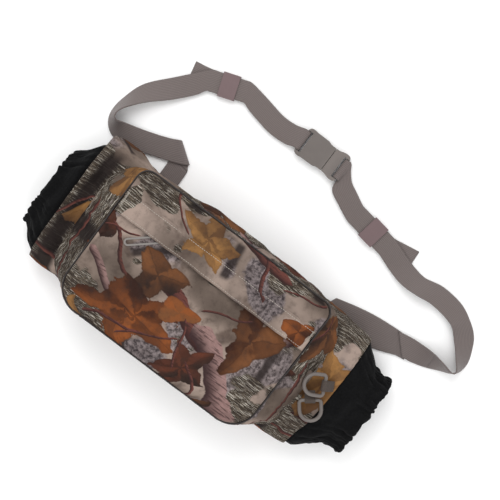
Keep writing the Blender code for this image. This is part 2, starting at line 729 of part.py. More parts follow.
prong_outline = [(26.2, 12.6), (13.3, 12.9), (13.3, 15.9), (9.5, 16.6), (5.2, 13.0), (4.8, 9.8)]
prong_outline += [(14, 9.8), (26.2, 10.2)]
prong_pivot = (26.2, 11.4)
for side, sign in (("back", 1), ("front", -1)):
    outline = [(x - prong_pivot[0], sign * (y - prong_pivot[1])) for x, y in prong_outline]
    origin = (prong_pivot[0], BUCKLE_Y + sign * prong_pivot[1], BUCKLE_Z)
    prism(f"prong_{side}", outline, -2.2, 2.2, PLASTIC, origin=origin)
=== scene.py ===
"""Hand warmer muff, finished piece by piece: camouflage muff and pocket, black fleece cuffs, taupe belt."""
import math

import bmesh
import bpy
import numpy as np
from mathutils import Matrix, Vector, noise


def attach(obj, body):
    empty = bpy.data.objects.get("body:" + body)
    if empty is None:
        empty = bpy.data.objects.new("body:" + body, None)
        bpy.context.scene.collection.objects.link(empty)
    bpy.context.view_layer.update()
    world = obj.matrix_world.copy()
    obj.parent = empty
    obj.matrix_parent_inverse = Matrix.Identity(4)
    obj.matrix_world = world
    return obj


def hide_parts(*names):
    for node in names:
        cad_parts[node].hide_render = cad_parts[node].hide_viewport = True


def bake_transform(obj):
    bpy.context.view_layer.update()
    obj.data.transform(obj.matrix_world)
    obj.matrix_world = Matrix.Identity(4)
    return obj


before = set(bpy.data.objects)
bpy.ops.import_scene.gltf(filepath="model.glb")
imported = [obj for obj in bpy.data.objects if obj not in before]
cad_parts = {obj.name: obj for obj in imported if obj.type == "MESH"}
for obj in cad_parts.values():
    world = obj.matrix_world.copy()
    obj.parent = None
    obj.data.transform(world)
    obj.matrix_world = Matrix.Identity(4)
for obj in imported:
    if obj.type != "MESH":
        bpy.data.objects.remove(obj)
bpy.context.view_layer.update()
MM = 0.001

# Camera, floor and lamps.
# The muff lies on a pale table and is looked at from above its belt side, turned in the picture.

LOOK_AT = Vector((16.6, 73.6, 0.0)) * MM
DISTANCE = 1.25
LEAN = math.radians(7.4)
ROLL = math.radians(37.0)
FOCAL_LENGTH = 77.4
toward_lens = Vector((0.0, math.sin(LEAN), math.cos(LEAN)))
level_up = Vector((0.0, math.cos(LEAN), -math.sin(LEAN)))
along_muff = Vector((1.0, 0.0, 0.0))
picture_right = along_muff * math.cos(ROLL) + level_up * math.sin(ROLL)
picture_up = level_up * math.cos(ROLL) - along_muff * math.sin(ROLL)
lens = bpy.data.cameras.new("camera")
lens.lens = FOCAL_LENGTH
lens.clip_start = 0.05
camera = bpy.data.objects.new("camera", lens)
turned = Matrix((picture_right, picture_up, toward_lens)).transposed().to_4x4()
camera.matrix_world = Matrix.Translation(LOOK_AT + toward_lens * DISTANCE) @ turned
bpy.context.scene.collection.objects.link(camera)
bpy.context.scene.camera = camera
bpy.context.scene.view_settings.view_transform = "Standard"

table = bmesh.new()
bmesh.ops.create_grid(table, x_segments=1, y_segments=1, size=3.0)
bmesh.ops.translate(table, verts=table.verts, vec=(0, 0, -0.2 * MM))
table_mesh = bpy.data.meshes.new("table_top")
table.to_mesh(table_mesh)
table.free()
table_top = bpy.data.objects.new("table_top", table_mesh)
bpy.context.scene.collection.objects.link(table_top)
table_paint = bpy.data.materials.new("table_paint")
table_paint.use_nodes = True
table_shader = table_paint.node_tree.nodes["Principled BSDF"]
table_shader.inputs["Base Color"].default_value = (0.98, 0.98, 0.98, 1.0)
table_shader.inputs["Roughness"].default_value = 0.9
table_mesh.materials.append(table_paint)

room = bpy.data.worlds.new("studio")
room.use_nodes = True
room.node_tree.nodes["Background"].inputs["Color"].default_value = (1.0, 1.0, 1.0, 1.0)
room.node_tree.nodes["Background"].inputs["Strength"].default_value = 0.92
bpy.context.scene.world = room
for lamp_name, place, size, power in (
    ("window_lamp", (-0.55, 0.85, 1.1), 0.9, 9.0),
    ("fill_lamp", (0.9, -0.6, 1.2), 1.2, 5.0),
):
    lamp_data = bpy.data.lights.new(lamp_name, "AREA")
    lamp_data.size = size
    lamp_data.energy = power
    lamp = bpy.data.objects.new(lamp_name, lamp_data)
    lamp.location = place
    lamp.rotation_euler = (-Vector(place)).to_track_quat("-Z", "Y").to_euler()
    bpy.context.scene.collection.objects.link(lamp)

# Outer shell of the muff.
# Brushed polyester printed with leaves, branches, bark and dry grass, cut as one wide tube. It is sewn
# to the cuffs at both hems, and the wadding under it pushes it out between the hems.


def wire(tree, kind, sockets=None, **options):
    """Add a node, set its options and feed its sockets with values or with other nodes' outputs."""
    made = tree.nodes.new(kind)
    for option, choice in options.items():
        setattr(made, option, choice)
    for name, fed in (sockets or {}).items():
        if isinstance(fed, bpy.types.NodeSocket):
            tree.links.new(fed, made.inputs[name])
        else:
            made.inputs[name].default_value = fed
    return made


def sum_up(tree, operation, *terms, clamp=False):
    """One step of arithmetic between numbers."""
    sockets = dict(enumerate(terms))
    return wire(tree, "ShaderNodeMath", sockets, operation=operation, use_clamp=clamp).outputs[0]


def dye(tree, share, under, over):
    """Lay one colour over another in the share given."""
    colours = {0: share}
    for slot, colour in ((6, under), (7, over)):
        colours[slot] = colour if isinstance(colour, bpy.types.NodeSocket) else (*colour, 1.0)
    return wire(tree, "ShaderNodeMix", colours, data_type="RGBA").outputs[2]


def cloud(tree, where, scale, detail=3.0, rough=0.55):
    """Soft noise between 0 and 1."""
    sockets = {"Vector": where, "Scale": scale, "Detail": detail, "Roughness": rough}
    return wire(tree, "ShaderNodeTexNoise", sockets).outputs["Fac"]


def step_at(tree, amount, low, high):
    """0 below low and 1 above high, smooth between."""
    sockets = {"Value": amount, "From Min": low, "From Max": high}
    return wire(tree, "ShaderNodeMapRange", sockets, interpolation_type="SMOOTHSTEP").outputs[0]


def shape_on(tree, cloth, x, y, turn, length, breadth):
    """Coordinates along and across one printed shape, each -0.5 to 0.5 over its size."""
    sockets = {
        "Vector": cloth,
        "Location": (x * MM, y * MM, 0.0),
        "Rotation": (0.0, 0.0, math.radians(turn)),
        "Scale": (length * MM, breadth * MM, 1.0),
    }
    local = wire(tree, "ShaderNodeMapping", sockets, vector_type="TEXTURE").outputs[0]
    split = wire(tree, "ShaderNodeSeparateXYZ", {0: local})
    return split.outputs[0], split.outputs[1]


def print_leaf(tree, cloth, ragged, ground, spot, colours, lobes=5):
    """A dry leaf with pointed lobes, a vein up each and one side of every lobe in shade."""
    along, across = shape_on(tree, cloth, *spot)
    along = sum_up(tree, "MULTIPLY_ADD", ragged, 0.3, along)
    across = sum_up(tree, "MULTIPLY_ADD", ragged, -0.22, across)
    squared = sum_up(tree, "MULTIPLY_ADD", along, along, sum_up(tree, "MULTIPLY", across, across))
    reach = sum_up(tree, "SQRT", squared)
    turned = sum_up(tree, "MULTIPLY", sum_up(tree, "ARCTAN2", across, along), lobes / math.tau)
    beside = sum_up(tree, "PINGPONG", turned, 0.5)
    point = sum_up(tree, "POWER", sum_up(tree, "MULTIPLY_ADD", beside, -2.0, 1.0), 1.3)
    edge = sum_up(tree, "MULTIPLY_ADD", point, 0.25, 0.26)
    margin = sum_up(tree, "SUBTRACT", edge, reach)
    inside = step_at(tree, margin, -0.004, 0.02)
    rim = step_at(tree, margin, 0.06, 0.0)
    off_vein = sum_up(tree, "MULTIPLY", beside, reach)
    vein = step_at(tree, off_vein, 0.006, 0.001)
    fishbone = sum_up(tree, "MULTIPLY_ADD", off_vein, -2.6, reach)
    side = step_at(tree, sum_up(tree, "PINGPONG", fishbone, 0.035), 0.005, 0.0)
    veins = sum_up(tree, "MAXIMUM", vein, sum_up(tree, "MULTIPLY", side, 0.4))
    light, dark = colours
    shaded = step_at(tree, sum_up(tree, "SINE", sum_up(tree, "MULTIPLY", turned, math.tau)), -0.5, 0.8)
    blotch = step_at(tree, sum_up(tree, "MULTIPLY_ADD", across, 0.9, ragged), -0.3, 0.3)
    lit = sum_up(tree, "MULTIPLY_ADD", shaded, 0.45, sum_up(tree, "MULTIPLY", blotch, 0.6), clamp=True)
    body = dye(tree, lit, dark, light)
    body = dye(tree, sum_up(tree, "MULTIPLY", rim, 0.4), body, tuple(0.4 * c for c in dark))
    body = dye(tree, sum_up(tree, "MULTIPLY", veins, 0.35), body, tuple(0.8 * c for c in dark))
    return dye(tree, inside, ground, body)


def print_branch(tree, cloth, ragged, streaks, ground, spot, colours, crook=0.5):
    """A crooked branch, round in its shading, with bark streaked along it."""
    along, across = shape_on(tree, cloth, *spot)
    bend = sum_up(tree, "SINE", sum_up(tree, "MULTIPLY", along, 7.0))
    across = sum_up(tree, "MULTIPLY_ADD", bend, crook * 0.4, across)
    across = sum_up(tree, "MULTIPLY_ADD", ragged, crook * 0.8, across)
    tip = step_at(tree, sum_up(tree, "ABSOLUTE", along), 0.42, 0.51)
    width = sum_up(tree, "MULTIPLY_ADD", tip, 0.5, sum_up(tree, "ABSOLUTE", across))
    inside = step_at(tree, width, 0.5, 0.44)
    light, dark = colours
    round_side = step_at(tree, across, -0.45, 0.3)
    bark = dye(tree, round_side, dark, light)
    bark = dye(tree, sum_up(tree, "MULTIPLY", step_at(tree, streaks, 0.5, 0.62), 0.75), bark, dark)
    return dye(tree, inside, ground, bark)


def print_grass(tree, cloth, ground, patch):
    """Matted dry grass: hair-fine pale strands of several directions over a dark mat."""
    colour = dye(tree, cloud(tree, cloth, 70.0, 4.0, 0.7), (0.006, 0.005, 0.004), (0.055, 0.042, 0.032))
    for turn, stretch, tint in (
        (25, 1.0, (0.11, 0.085, 0.06)),
        (-35, 0.85, (0.012, 0.009, 0.007)),
        (80, 0.7, (0.17, 0.14, 0.108)),
        (-70, 0.9, (0.09, 0.068, 0.045)),
        (5, 0.8, (0.2, 0.17, 0.135)),
        (50, 0.9, (0.015, 0.011, 0.008)),
        (-15, 0.75, (0.12, 0.096, 0.072)),
    ):
        sockets = {
            "Vector": cloth,
            "Rotation": (0.0, 0.0, math.radians(turn)),
            "Scale": (95.0 * stretch, 1500.0 * stretch, 1.0),
        }
        combed = wire(tree, "ShaderNodeMapping", sockets).outputs[0]
        noisy = {"Vector": combed, "Scale": 1.0, "Detail": 1.5, "Roughness": 0.5, "Distortion": 0.7}
        strand = step_at(tree, wire(tree, "ShaderNodeTexNoise", noisy).outputs["Fac"], 0.6, 0.68)
        colour = dye(tree, sum_up(tree, "MULTIPLY", strand, 0.9), colour, tint)
    for turn, spacing in ((33, 1300.0), (-52, 1150.0), (72, 1400.0), (-8, 1250.0)):
        sockets = {
            "Vector": cloth,
            "Rotation": (0.0, 0.0, math.radians(turn)),
            "Scale": (52.0, spacing, 1.0),
        }
        combed = wire(tree, "ShaderNodeMapping", sockets).outputs[0]
        noisy = {"Vector": combed, "Scale": 1.0, "Detail": 0.5, "Roughness": 0.4, "Distortion": 1.2}
        hair = step_at(tree, wire(tree, "ShaderNodeTexNoise", noisy).outputs["Fac"], 0.7, 0.74)
        colour = dye(tree, hair, colour, (0.5, 0.46, 0.4))
    return dye(tree, patch, ground, colour)


TILE = Vector((310.0, 290.0, 2000.0)) * MM
RUST, DEEP_BROWN = (0.22, 0.064, 0.017), (0.03, 0.01, 0.006)
OCHRE, TAN = (0.3, 0.15, 0.05), (0.11, 0.052, 0.022)
DEEP_RUST = (0.105, 0.03, 0.016)
BROWN, UMBER = (0.15, 0.058, 0.022), (0.02, 0.011, 0.009)
BARK_LIGHT, BARK_DARK = (0.275, 0.168, 0.155), (0.036, 0.018, 0.019)
TWIG_LIGHT, TWIG_DARK = (0.12, 0.04, 0.032), (0.03, 0.012, 0.012)


def camouflage():
    """The printed cloth, drawn on each piece's own cloth coordinates."""
    material = bpy.data.materials.new("printed_camouflage")
    material.use_nodes = True
    tree = material.node_tree
    shader = tree.nodes["Principled BSDF"]
    raw = wire(tree, "ShaderNodeUVMap", uv_map="cloth").outputs[0]
    half = TILE / 2
    limits = {0: raw, 1: half, 2: -half}
    cloth = wire(tree, "ShaderNodeVectorMath", limits, operation="WRAP").outputs[0]
    ragged = sum_up(tree, "SUBTRACT", cloud(tree, cloth, 60.0, 4.0), 0.5)
    broad = cloud(tree, raw, 9.0, 2.0)
    middle = cloud(tree, raw, 28.0, 4.0)
    combed = wire(
        tree,
        "ShaderNodeMapping",
        {"Vector": cloth, "Rotation": (0.0, 0.0, math.radians(20)), "Scale": (60.0, 480.0, 1.0)},
    ).outputs[0]
    streaks = cloud(tree, combed, 1.0, 3.0)
    colour = dye(tree, step_at(tree, broad, 0.36, 0.62), (0.12, 0.09, 0.072), (0.32, 0.247, 0.208))
    mottle = sum_up(tree, "MULTIPLY", step_at(tree, middle, 0.52, 0.68), 0.7)
    colour = dye(tree, mottle, colour, (0.075, 0.05, 0.04))
    split = wire(tree, "ShaderNodeSeparateXYZ", {0: raw})
    on_muff = step_at(tree, split.outputs[0], 0.2, 0.21)
    on_gusset = step_at(tree, split.outputs[1], 0.13, 0.135)
    brushwood = sum_up(tree, "MAXIMUM", on_muff, on_gusset)
    lichen = step_at(tree, cloud(tree, raw, 14.0, 2.0, 0.4), 0.56, 0.61)
    pitted = step_at(tree, cloud(tree, raw, 190.0, 5.0, 0.75), 0.36, 0.64)
    rough_bark = dye(tree, pitted, (0.03, 0.024, 0.027), (0.27, 0.225, 0.225))
    colour = dye(tree, sum_up(tree, "MULTIPLY", lichen, 0.92), colour, rough_bark)
    for bar in (
        (107, -15, -88, 74, 15),
        (9, 112, -84, 50, 16),
        (-64, 20, 40, 60, 14),
        (-60, -96, 30, 90, 18),
    ):
        along, across = shape_on(tree, cloth, *bar)
        side_fade = step_at(tree, sum_up(tree, "ABSOLUTE", across), 0.5, 0.15)
        end_fade = step_at(tree, sum_up(tree, "ABSOLUTE", along), 0.5, 0.38)
        soft = sum_up(tree, "MULTIPLY", side_fade, end_fade)
        colour = dye(tree, sum_up(tree, "MULTIPLY", soft, 0.92), colour, (0.022, 0.016, 0.016))
    for patch_spot in ((56, 108, -35, 74, 44), (-10, -80, 20, 60, 34)):
        along, across = shape_on(tree, cloth, *patch_spot)
        away = sum_up(tree, "MULTIPLY_ADD", along, along, sum_up(tree, "MULTIPLY", across, across))
        away = sum_up(tree, "MULTIPLY_ADD", ragged, 0.3, away)
        colour = dye(tree, step_at(tree, away, 0.26, 0.18), colour, rough_bark)
    grass_place = wire(tree, "ShaderNodeMapping", {"Vector": raw, "Location": (0.37, 0.11, 0.0)}).outputs[0]
    growth = sum_up(tree, "MULTIPLY_ADD", brushwood, 0.13, cloud(tree, grass_place, 11.0, 3.0, 0.6))
    colour = print_grass(tree, raw, colour, step_at(tree, growth, 0.575, 0.6))
    for clump in (
        (-100, -72, -30, 84, 50),
        (-104, 130, -20, 70, 34),
        (-128, 92, 60, 60, 26),
        (118, -70, 60, 60, 30),
    ):
        along, across = shape_on(tree, cloth, *clump)
        away = sum_up(tree, "MULTIPLY_ADD", along, along, sum_up(tree, "MULTIPLY", across, across))
        away = sum_up(tree, "MULTIPLY_ADD", ragged, 0.35, away)
        colour = print_grass(tree, raw, colour, step_at(tree, away, 0.25, 0.21))
    # Near-black bars on the muff and gusset: partly dark print, partly painted shade for the valley between
    # the hem and the pocket.
    for bar in ((-57, -112, 88, 150, 32), (-59, 122, 93, 150, 26), (122, 150, 70, 80, 24)):
        along, across = shape_on(tree, cloth, *bar)
        side_fade = step_at(tree, sum_up(tree, "ABSOLUTE", across), 0.5, 0.2)
        end_fade = step_at(tree, sum_up(tree, "ABSOLUTE", along), 0.5, 0.34)
        print_and_valley_shade = sum_up(tree, "MULTIPLY", sum_up(tree, "MULTIPLY", side_fade, brushwood), end_fade)
        colour = dye(tree, sum_up(tree, "MULTIPLY", print_and_valley_shade, 0.96), colour, (0.01, 0.007, 0.007))
    for branch, tones in (
        ((2, -16, -20, 112, 19), (TWIG_LIGHT, TWIG_DARK)),
        ((72, -54, -35, 134, 26), (BARK_LIGHT, BARK_DARK)),
        ((-98, -34, -30, 70, 9), (BARK_LIGHT, BARK_DARK)),
        ((150, 60, 40, 120, 13), (BARK_LIGHT, BARK_DARK)),
        ((-20, -118, 8, 150, 6), (TWIG_LIGHT, TWIG_DARK)),
        ((20, 139, -8, 120, 10), (TWIG_LIGHT, TWIG_DARK)),
    ):
        colour = print_branch(tree, cloth, ragged, streaks, colour, branch, tones)
    for leaf, colours, lobes in (
        ((-46, 0, 20, 76, 66), (BROWN, UMBER), 3),
        ((-46, -50, -165, 150, 84), (RUST, DEEP_BROWN), 5),
        ((34, -66, 60, 84, 62), (DEEP_RUST, UMBER), 5),
        ((-6, -18, 15, 60, 34), (RUST, BROWN), 3),
        ((78, 4, -96, 100, 70), (BROWN, DEEP_BROWN), 3),
        ((-24, 114, 165, 84, 62), (OCHRE, TAN), 5),
        ((112, 92, 50, 44, 36), (RUST, DEEP_BROWN), 3),
        ((-132, -108, 60, 84, 66), (OCHRE, TAN), 5),
        ((90, -112, 160, 90, 70), (BROWN, UMBER), 5),
        ((-140, 20, 100, 80, 60), (DEEP_RUST, UMBER), 3),
    ):
        colour = print_leaf(tree, cloth, ragged, colour, leaf, colours, lobes)
    for twig in (
        (-98, 0, -42, 64, 5.2),
        (-108, 18, 16, 44, 2.4),
        (46, 124, -62, 70, 4.6),
        (100, 128, 14, 60, 2.2),
        (-70, 124, -35, 60, 2.2),
        (40, 10, 24, 60, 2.6),
        (-60, -70, 14, 90, 3.2),
        (70, -88, -40, 100, 3.4),
        (16, -46, -70, 60, 3.0),
        (-20, -60, 30, 80, 2.4),
    ):
        colour = print_branch(tree, cloth, ragged, streaks, colour, twig, (TWIG_LIGHT, TWIG_DARK), 1.6)
    blotches = step_at(tree, cloud(tree, raw, 110.0, 5.0, 0.7), 0.46, 0.68)
    colour = dye(tree, sum_up(tree, "MULTIPLY", blotches, 0.3), colour, (0.035, 0.024, 0.02))
    # Dappled shade painted over the whole print, darkening it at random.
    dappled_painted_shade = step_at(tree, cloud(tree, raw, 17.0, 3.0, 0.55), 0.56, 0.4)
    colour = dye(tree, sum_up(tree, "MULTIPLY", dappled_painted_shade, 0.3), colour, (0.02, 0.014, 0.013))
    rubbed = cloud(tree, raw, 700.0, 2.0, 0.6)
    colour = dye(tree, sum_up(tree, "MULTIPLY", rubbed, 0.05), colour, (0.24, 0.2, 0.18))
    tree.links.new(colour, shader.inputs["Base Color"])
    nap = cloud(tree, raw, 1500.0, 3.0, 0.7)
    bump = wire(tree, "ShaderNodeBump", {"Strength": 0.35, "Distance": 0.0004, "Height": nap}).outputs[0]
    tree.links.new(bump, shader.inputs["Normal"])
    shader.inputs["Roughness"].default_value = 0.88
    shader.inputs["Specular IOR Level"].default_value = 0.08
    return material


CAMOUFLAGE = camouflage()

MUFF_LEFT, MUFF_RIGHT = -183.0, 188.0
MUFF_HALF_WIDTH, HEM_TAPER = 88.0, 9.0
CUFF_HALF_WIDTH, CUFF_GATHER_SPAN = 58.0, 25.0
SECTION_CENTRE, SECTION_HALF_HEIGHT, SECTION_POWER = 26.0, 27.5, 2.6


def half_width(x):
    """Half the muff's width at x. The elastic draws it in beyond the hems."""
    on_muff = min(max(x, MUFF_LEFT), MUFF_RIGHT)
    full = MUFF_HALF_WIDTH - HEM_TAPER * abs(on_muff / MUFF_RIGHT) ** 3
    gathered = min(abs(x - on_muff) / CUFF_GATHER_SPAN, 1.0)
    return full + (CUFF_HALF_WIDTH - full) * gathered


def section_point(x, angle, inset, drift=0.0):
    """A point of the muff's flattened round section at x, in millimetres."""
    across, up = math.cos(angle), math.sin(angle)
    wide = math.copysign(abs(across) ** (2 / SECTION_POWER), across)
    high = math.copysign(abs(up) ** (2 / SECTION_POWER), up)
    z = SECTION_CENTRE + (SECTION_HALF_HEIGHT - inset) * high
    return Vector((x, (half_width(x) - inset) * wide + drift, max(z, inset, 0.0)))


def muff_top(x, y):
    share = min(abs(y) / half_width(x), 1.0)
    return SECTION_CENTRE + SECTION_HALF_HEIGHT * (1 - share**SECTION_POWER) ** (1 / SECTION_POWER)


def bent_sheet(name, columns, rows, bend, cloth_size, cloth_corner=(0, 0), closed=False):
    """A flat grid of cloth bent into place. bend(u, v) gives a point in millimetres, u and v 0 to 1."""
    made = bmesh.new()
    bmesh.ops.create_grid(made, x_segments=columns, y_segments=rows, size=0.5, calc_uvs=True)
    laid = made.loops.layers.uv.active or made.loops.layers.uv.new("cloth")
    for face in made.faces:
        for loop in face.loops:
            u, v = loop.vert.co.x + 0.5, loop.vert.co.y + 0.5
            loop[laid].uv = (
                (cloth_corner[0] + u * cloth_size[0]) * MM,
                (cloth_corner[1] + v * cloth_size[1]) * MM,
            )
    for vert in made.verts:
        vert.co = bend(vert.co.x + 0.5, vert.co.y + 0.5) * MM
    if closed:
        bmesh.ops.remove_doubles(made, verts=made.verts, dist=0.02 * MM)
    mesh = bpy.data.meshes.new(name)
    made.to_mesh(mesh)
    made.free()
    mesh.uv_layers[0].name = "cloth"
    mesh.shade_smooth()
    piece = bpy.data.objects.new(name, mesh)
    bpy.context.scene.collection.objects.link(piece)
    return piece


def give_wall(piece, wall, inward=True):
    """Turn a single sheet into cloth of a real thickness."""
    solid = piece.modifiers.new("cloth_thickness", "SOLIDIFY")
    solid.thickness = wall * MM
    solid.offset = -1.0 if inward else 1.0


def round_off(piece, levels=1):
    smooth = piece.modifiers.new("smooth", "SUBSURF")
    smooth.levels = levels
    smooth.render_levels = levels


def settle(piece, held, slack, pressure, farthest, stiffness=12.0):
    """Let sewn cloth with a little slack find its own puckers. held(point) is 1 where it is sewn."""
    mesh = piece.data
    group = piece.vertex_groups.new(name="sewn")
    before = np.empty(len(mesh.vertices) * 3)
    mesh.vertices.foreach_get("co", before)
    before = before.reshape(-1, 3)
    for index, point in enumerate(before):
        group.add([index], held(point / MM), "REPLACE")
    cloth = piece.modifiers.new("settling", "CLOTH")
    cloth.settings.vertex_group_mass = "sewn"
    cloth.settings.quality = 6
    cloth.settings.mass = 0.2
    cloth.settings.tension_stiffness = stiffness
    cloth.settings.compression_stiffness = stiffness
    cloth.settings.shear_stiffness = stiffness / 2
    cloth.settings.bending_stiffness = 0.15
    cloth.settings.shrink_min = -slack
    cloth.settings.use_pressure = True
    cloth.settings.uniform_pressure_force = pressure
    cloth.settings.effector_weights.gravity = 0.0
    cloth.collision_settings.use_collision = False
    cloth.point_cache.frame_start = 1
    cloth.point_cache.frame_end = 20
    scene = bpy.context.scene
    for step in range(1, 21):
        scene.frame_set(step)
    settled = piece.evaluated_get(bpy.context.evaluated_depsgraph_get()).to_mesh()
    after = np.empty(len(settled.vertices) * 3)
    settled.vertices.foreach_get("co", after)
    piece.modifiers.remove(cloth)
    scene.frame_set(1)
    moved = after.reshape(-1, 3) - before
    length = np.linalg.norm(moved, axis=1, keepdims=True)
    moved *= np.minimum(1.0, farthest * MM / np.maximum(length, 1e-9))
    result = before + moved
    result[:, 2] = np.maximum(result[:, 2], 0.0)
    mesh.vertices.foreach_set("co", result.ravel())
    mesh.update()
    piece.vertex_groups.remove(group)


def muff_girth(x=0.0):
    """Length round the muff's section, for the size of its cloth."""
    ring = [section_point(x, math.tau * i / 180, 0.0) for i in range(181)]
    return sum((b - a).length for a, b in zip(ring, ring[1:]))


def wrap_muff(u, v):
    """The shell as it is sewn: spread at its hems and pulled down beside the ends of the pocket."""
    x = MUFF_LEFT + (MUFF_RIGHT - MUFF_LEFT) * u
    angle = math.tau * v - math.pi / 2
    point = section_point(x, angle, 0.3)
    top = max(0.0, math.sin(angle)) ** 0.7
    lumps = noise.noise(Vector((x / 26, point.y / 30, point.z / 22)))
    left_crease = math.exp(-(((x + 164 + 0.06 * point.y) / 7.5) ** 2))
    right_crease = math.exp(-(((x - 167) / 6.0) ** 2))
    left_hem = math.exp(-(((x - MUFF_LEFT) / 9.0) ** 2))
    sag = top * (left_crease * (6.4 + 2.4 * lumps) + right_crease * (3.6 + 2.0 * lumps) - left_hem * 3.0)
    wave = 2.0 * lumps * (1.0 if point.z > 6 else 0.0)
    spread = 9.0 * math.exp(-(((x - MUFF_LEFT) / 46.0) ** 2)) * max(0.0, math.cos(angle)) ** 2
    point.y = point.y * (1.0 + wave / 90.0) + spread
    point.z = max(0.0, point.z - sag + wave * top)
    point.x -= 6.0 * u**6 * max(0.0, -math.cos(angle))
    return point


muff = bent_sheet(
    "muff_shell_cloth",
    110,
    120,
    wrap_muff,
    (MUFF_RIGHT - MUFF_LEFT, muff_girth()),
    cloth_corner=(MUFF_LEFT + 420, -80),
    closed=True,
)


def muff_held(point):
    """The shell is sewn at its hems, under the pocket and flat on the table."""
    x, y, z = point
    hem = max(0.0, 1.0 - min(x - MUFF_LEFT, MUFF_RIGHT - x) / 4.0)
    covered = float(abs(x) < 140 and abs(y) < 66 and z > 30)
    return max(min(hem, 1.0) * 0.75, covered, float(z < 1.0))


settle(muff, muff_held, 0.05, 1.6, 2.6)
give_wall(muff, 1.2)
round_off(muff)
muff.data.materials.append(CAMOUFLAGE)
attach(muff, "muff")
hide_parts("muff_shell")

# Lining, heat-pack pocket and wadding.
# The lining is a black fleece tube that the hands lie in, with a patch pocket sewn inside its top.
# White polyester wadding fills the space between it and the shell.


def fleece(name, tone, fluff):
    """Matt black fleece with a short fluffy pile."""
    material = bpy.data.materials.new(name)
    material.use_nodes = True
    tree = material.node_tree
    shader = tree.nodes["Principled BSDF"]
    where = wire(tree, "ShaderNodeTexCoord").outputs["Object"]
    tufts = cloud(tree, where, 420.0, 4.0, 0.7)
    # The folds noise is painted shade: it darkens broad patches of the fleece as if they lay in its folds.
    folds = cloud(tree, where, 35.0, 2.0)
    colour = dye(tree, step_at(tree, tufts, 0.35, 0.75), tone, tuple(c * 2.2 + 0.001 for c in tone))
    colour = dye(tree, sum_up(tree, "MULTIPLY", folds, 0.5), colour, tuple(c * 0.4 for c in tone))
    tree.links.new(colour, shader.inputs["Base Color"])
    bump = wire(tree, "ShaderNodeBump", {"Strength": fluff, "Distance": 0.0009, "Height": tufts}).outputs[0]
    tree.links.new(bump, shader.inputs["Normal"])
    shader.inputs["Roughness"].default_value = 0.97
    shader.inputs["Sheen Weight"].default_value = 0.03
    shader.inputs["Sheen Roughness"].default_value = 0.6
    shader.inputs["Specular IOR Level"].default_value = 0.12
    return material


FLEECE = fleece("black_fleece", (0.0022, 0.0022, 0.0025), 0.6)
LINING_REACH = 168.0


def line_tunnel(u, v):
    x = (LINING_REACH - 10) * (2 * u - 1)
    angle = -math.tau * v - math.pi / 2
    ripple = 0.25 * noise.noise(Vector((x / 16, 3 * math.cos(angle), 3 * math.sin(angle))))
    return section_point(x, angle, 11.2 + ripple)


tunnel = bent_sheet("lining_fleece", 70, 90, line_tunnel, (336.0, 400.0), closed=True)
give_wall(tunnel, 1.8)
tunnel.data.materials.append(FLEECE)
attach(tunnel, "muff")
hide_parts("muff_lining")


def dress(node, material):
    """Give a CAD node its finish."""
    node_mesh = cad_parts[node].data
    node_mesh.materials.clear()
    node_mesh.materials.append(material)


dress("warmer_pocket", FLEECE)

wadding = bpy.data.materials.new("white_wadding")
wadding.use_nodes = True
wadding_tree = wadding.node_tree
wadding_shader = wadding_tree.nodes["Principled BSDF"]
wadding_place = wire(wadding_tree, "ShaderNodeTexCoord").outputs["Object"]
wadding_lumps = cloud(wadding_tree, wadding_place, 120.0, 5.0, 0.7)
wadding_colour = dye(wadding_tree, wadding_lumps, (0.55, 0.55, 0.53), (0.85, 0.85, 0.83))
wadding_tree.links.new(wadding_colour, wadding_shader.inputs["Base Color"])
wadding_shader.inputs["Roughness"].default_value = 1.0


def roll_wadding(u, v):
    return section_point(148.0 * (2 * u - 1), math.tau * v - math.pi / 2, 7.0)


batting = bent_sheet("wadding_roll", 40, 72, roll_wadding, (296.0, 440.0), closed=True)
give_wall(batting, 1.8)
batting.data.materials.append(wadding)
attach(batting, "muff")
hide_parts("muff_insulation")

# Cuffs.
# Black fleece tubes sewn into the hems. Each is turned in at its end round a ring of elastic, which
# gathers it into deep soft folds and a ruffled edge.


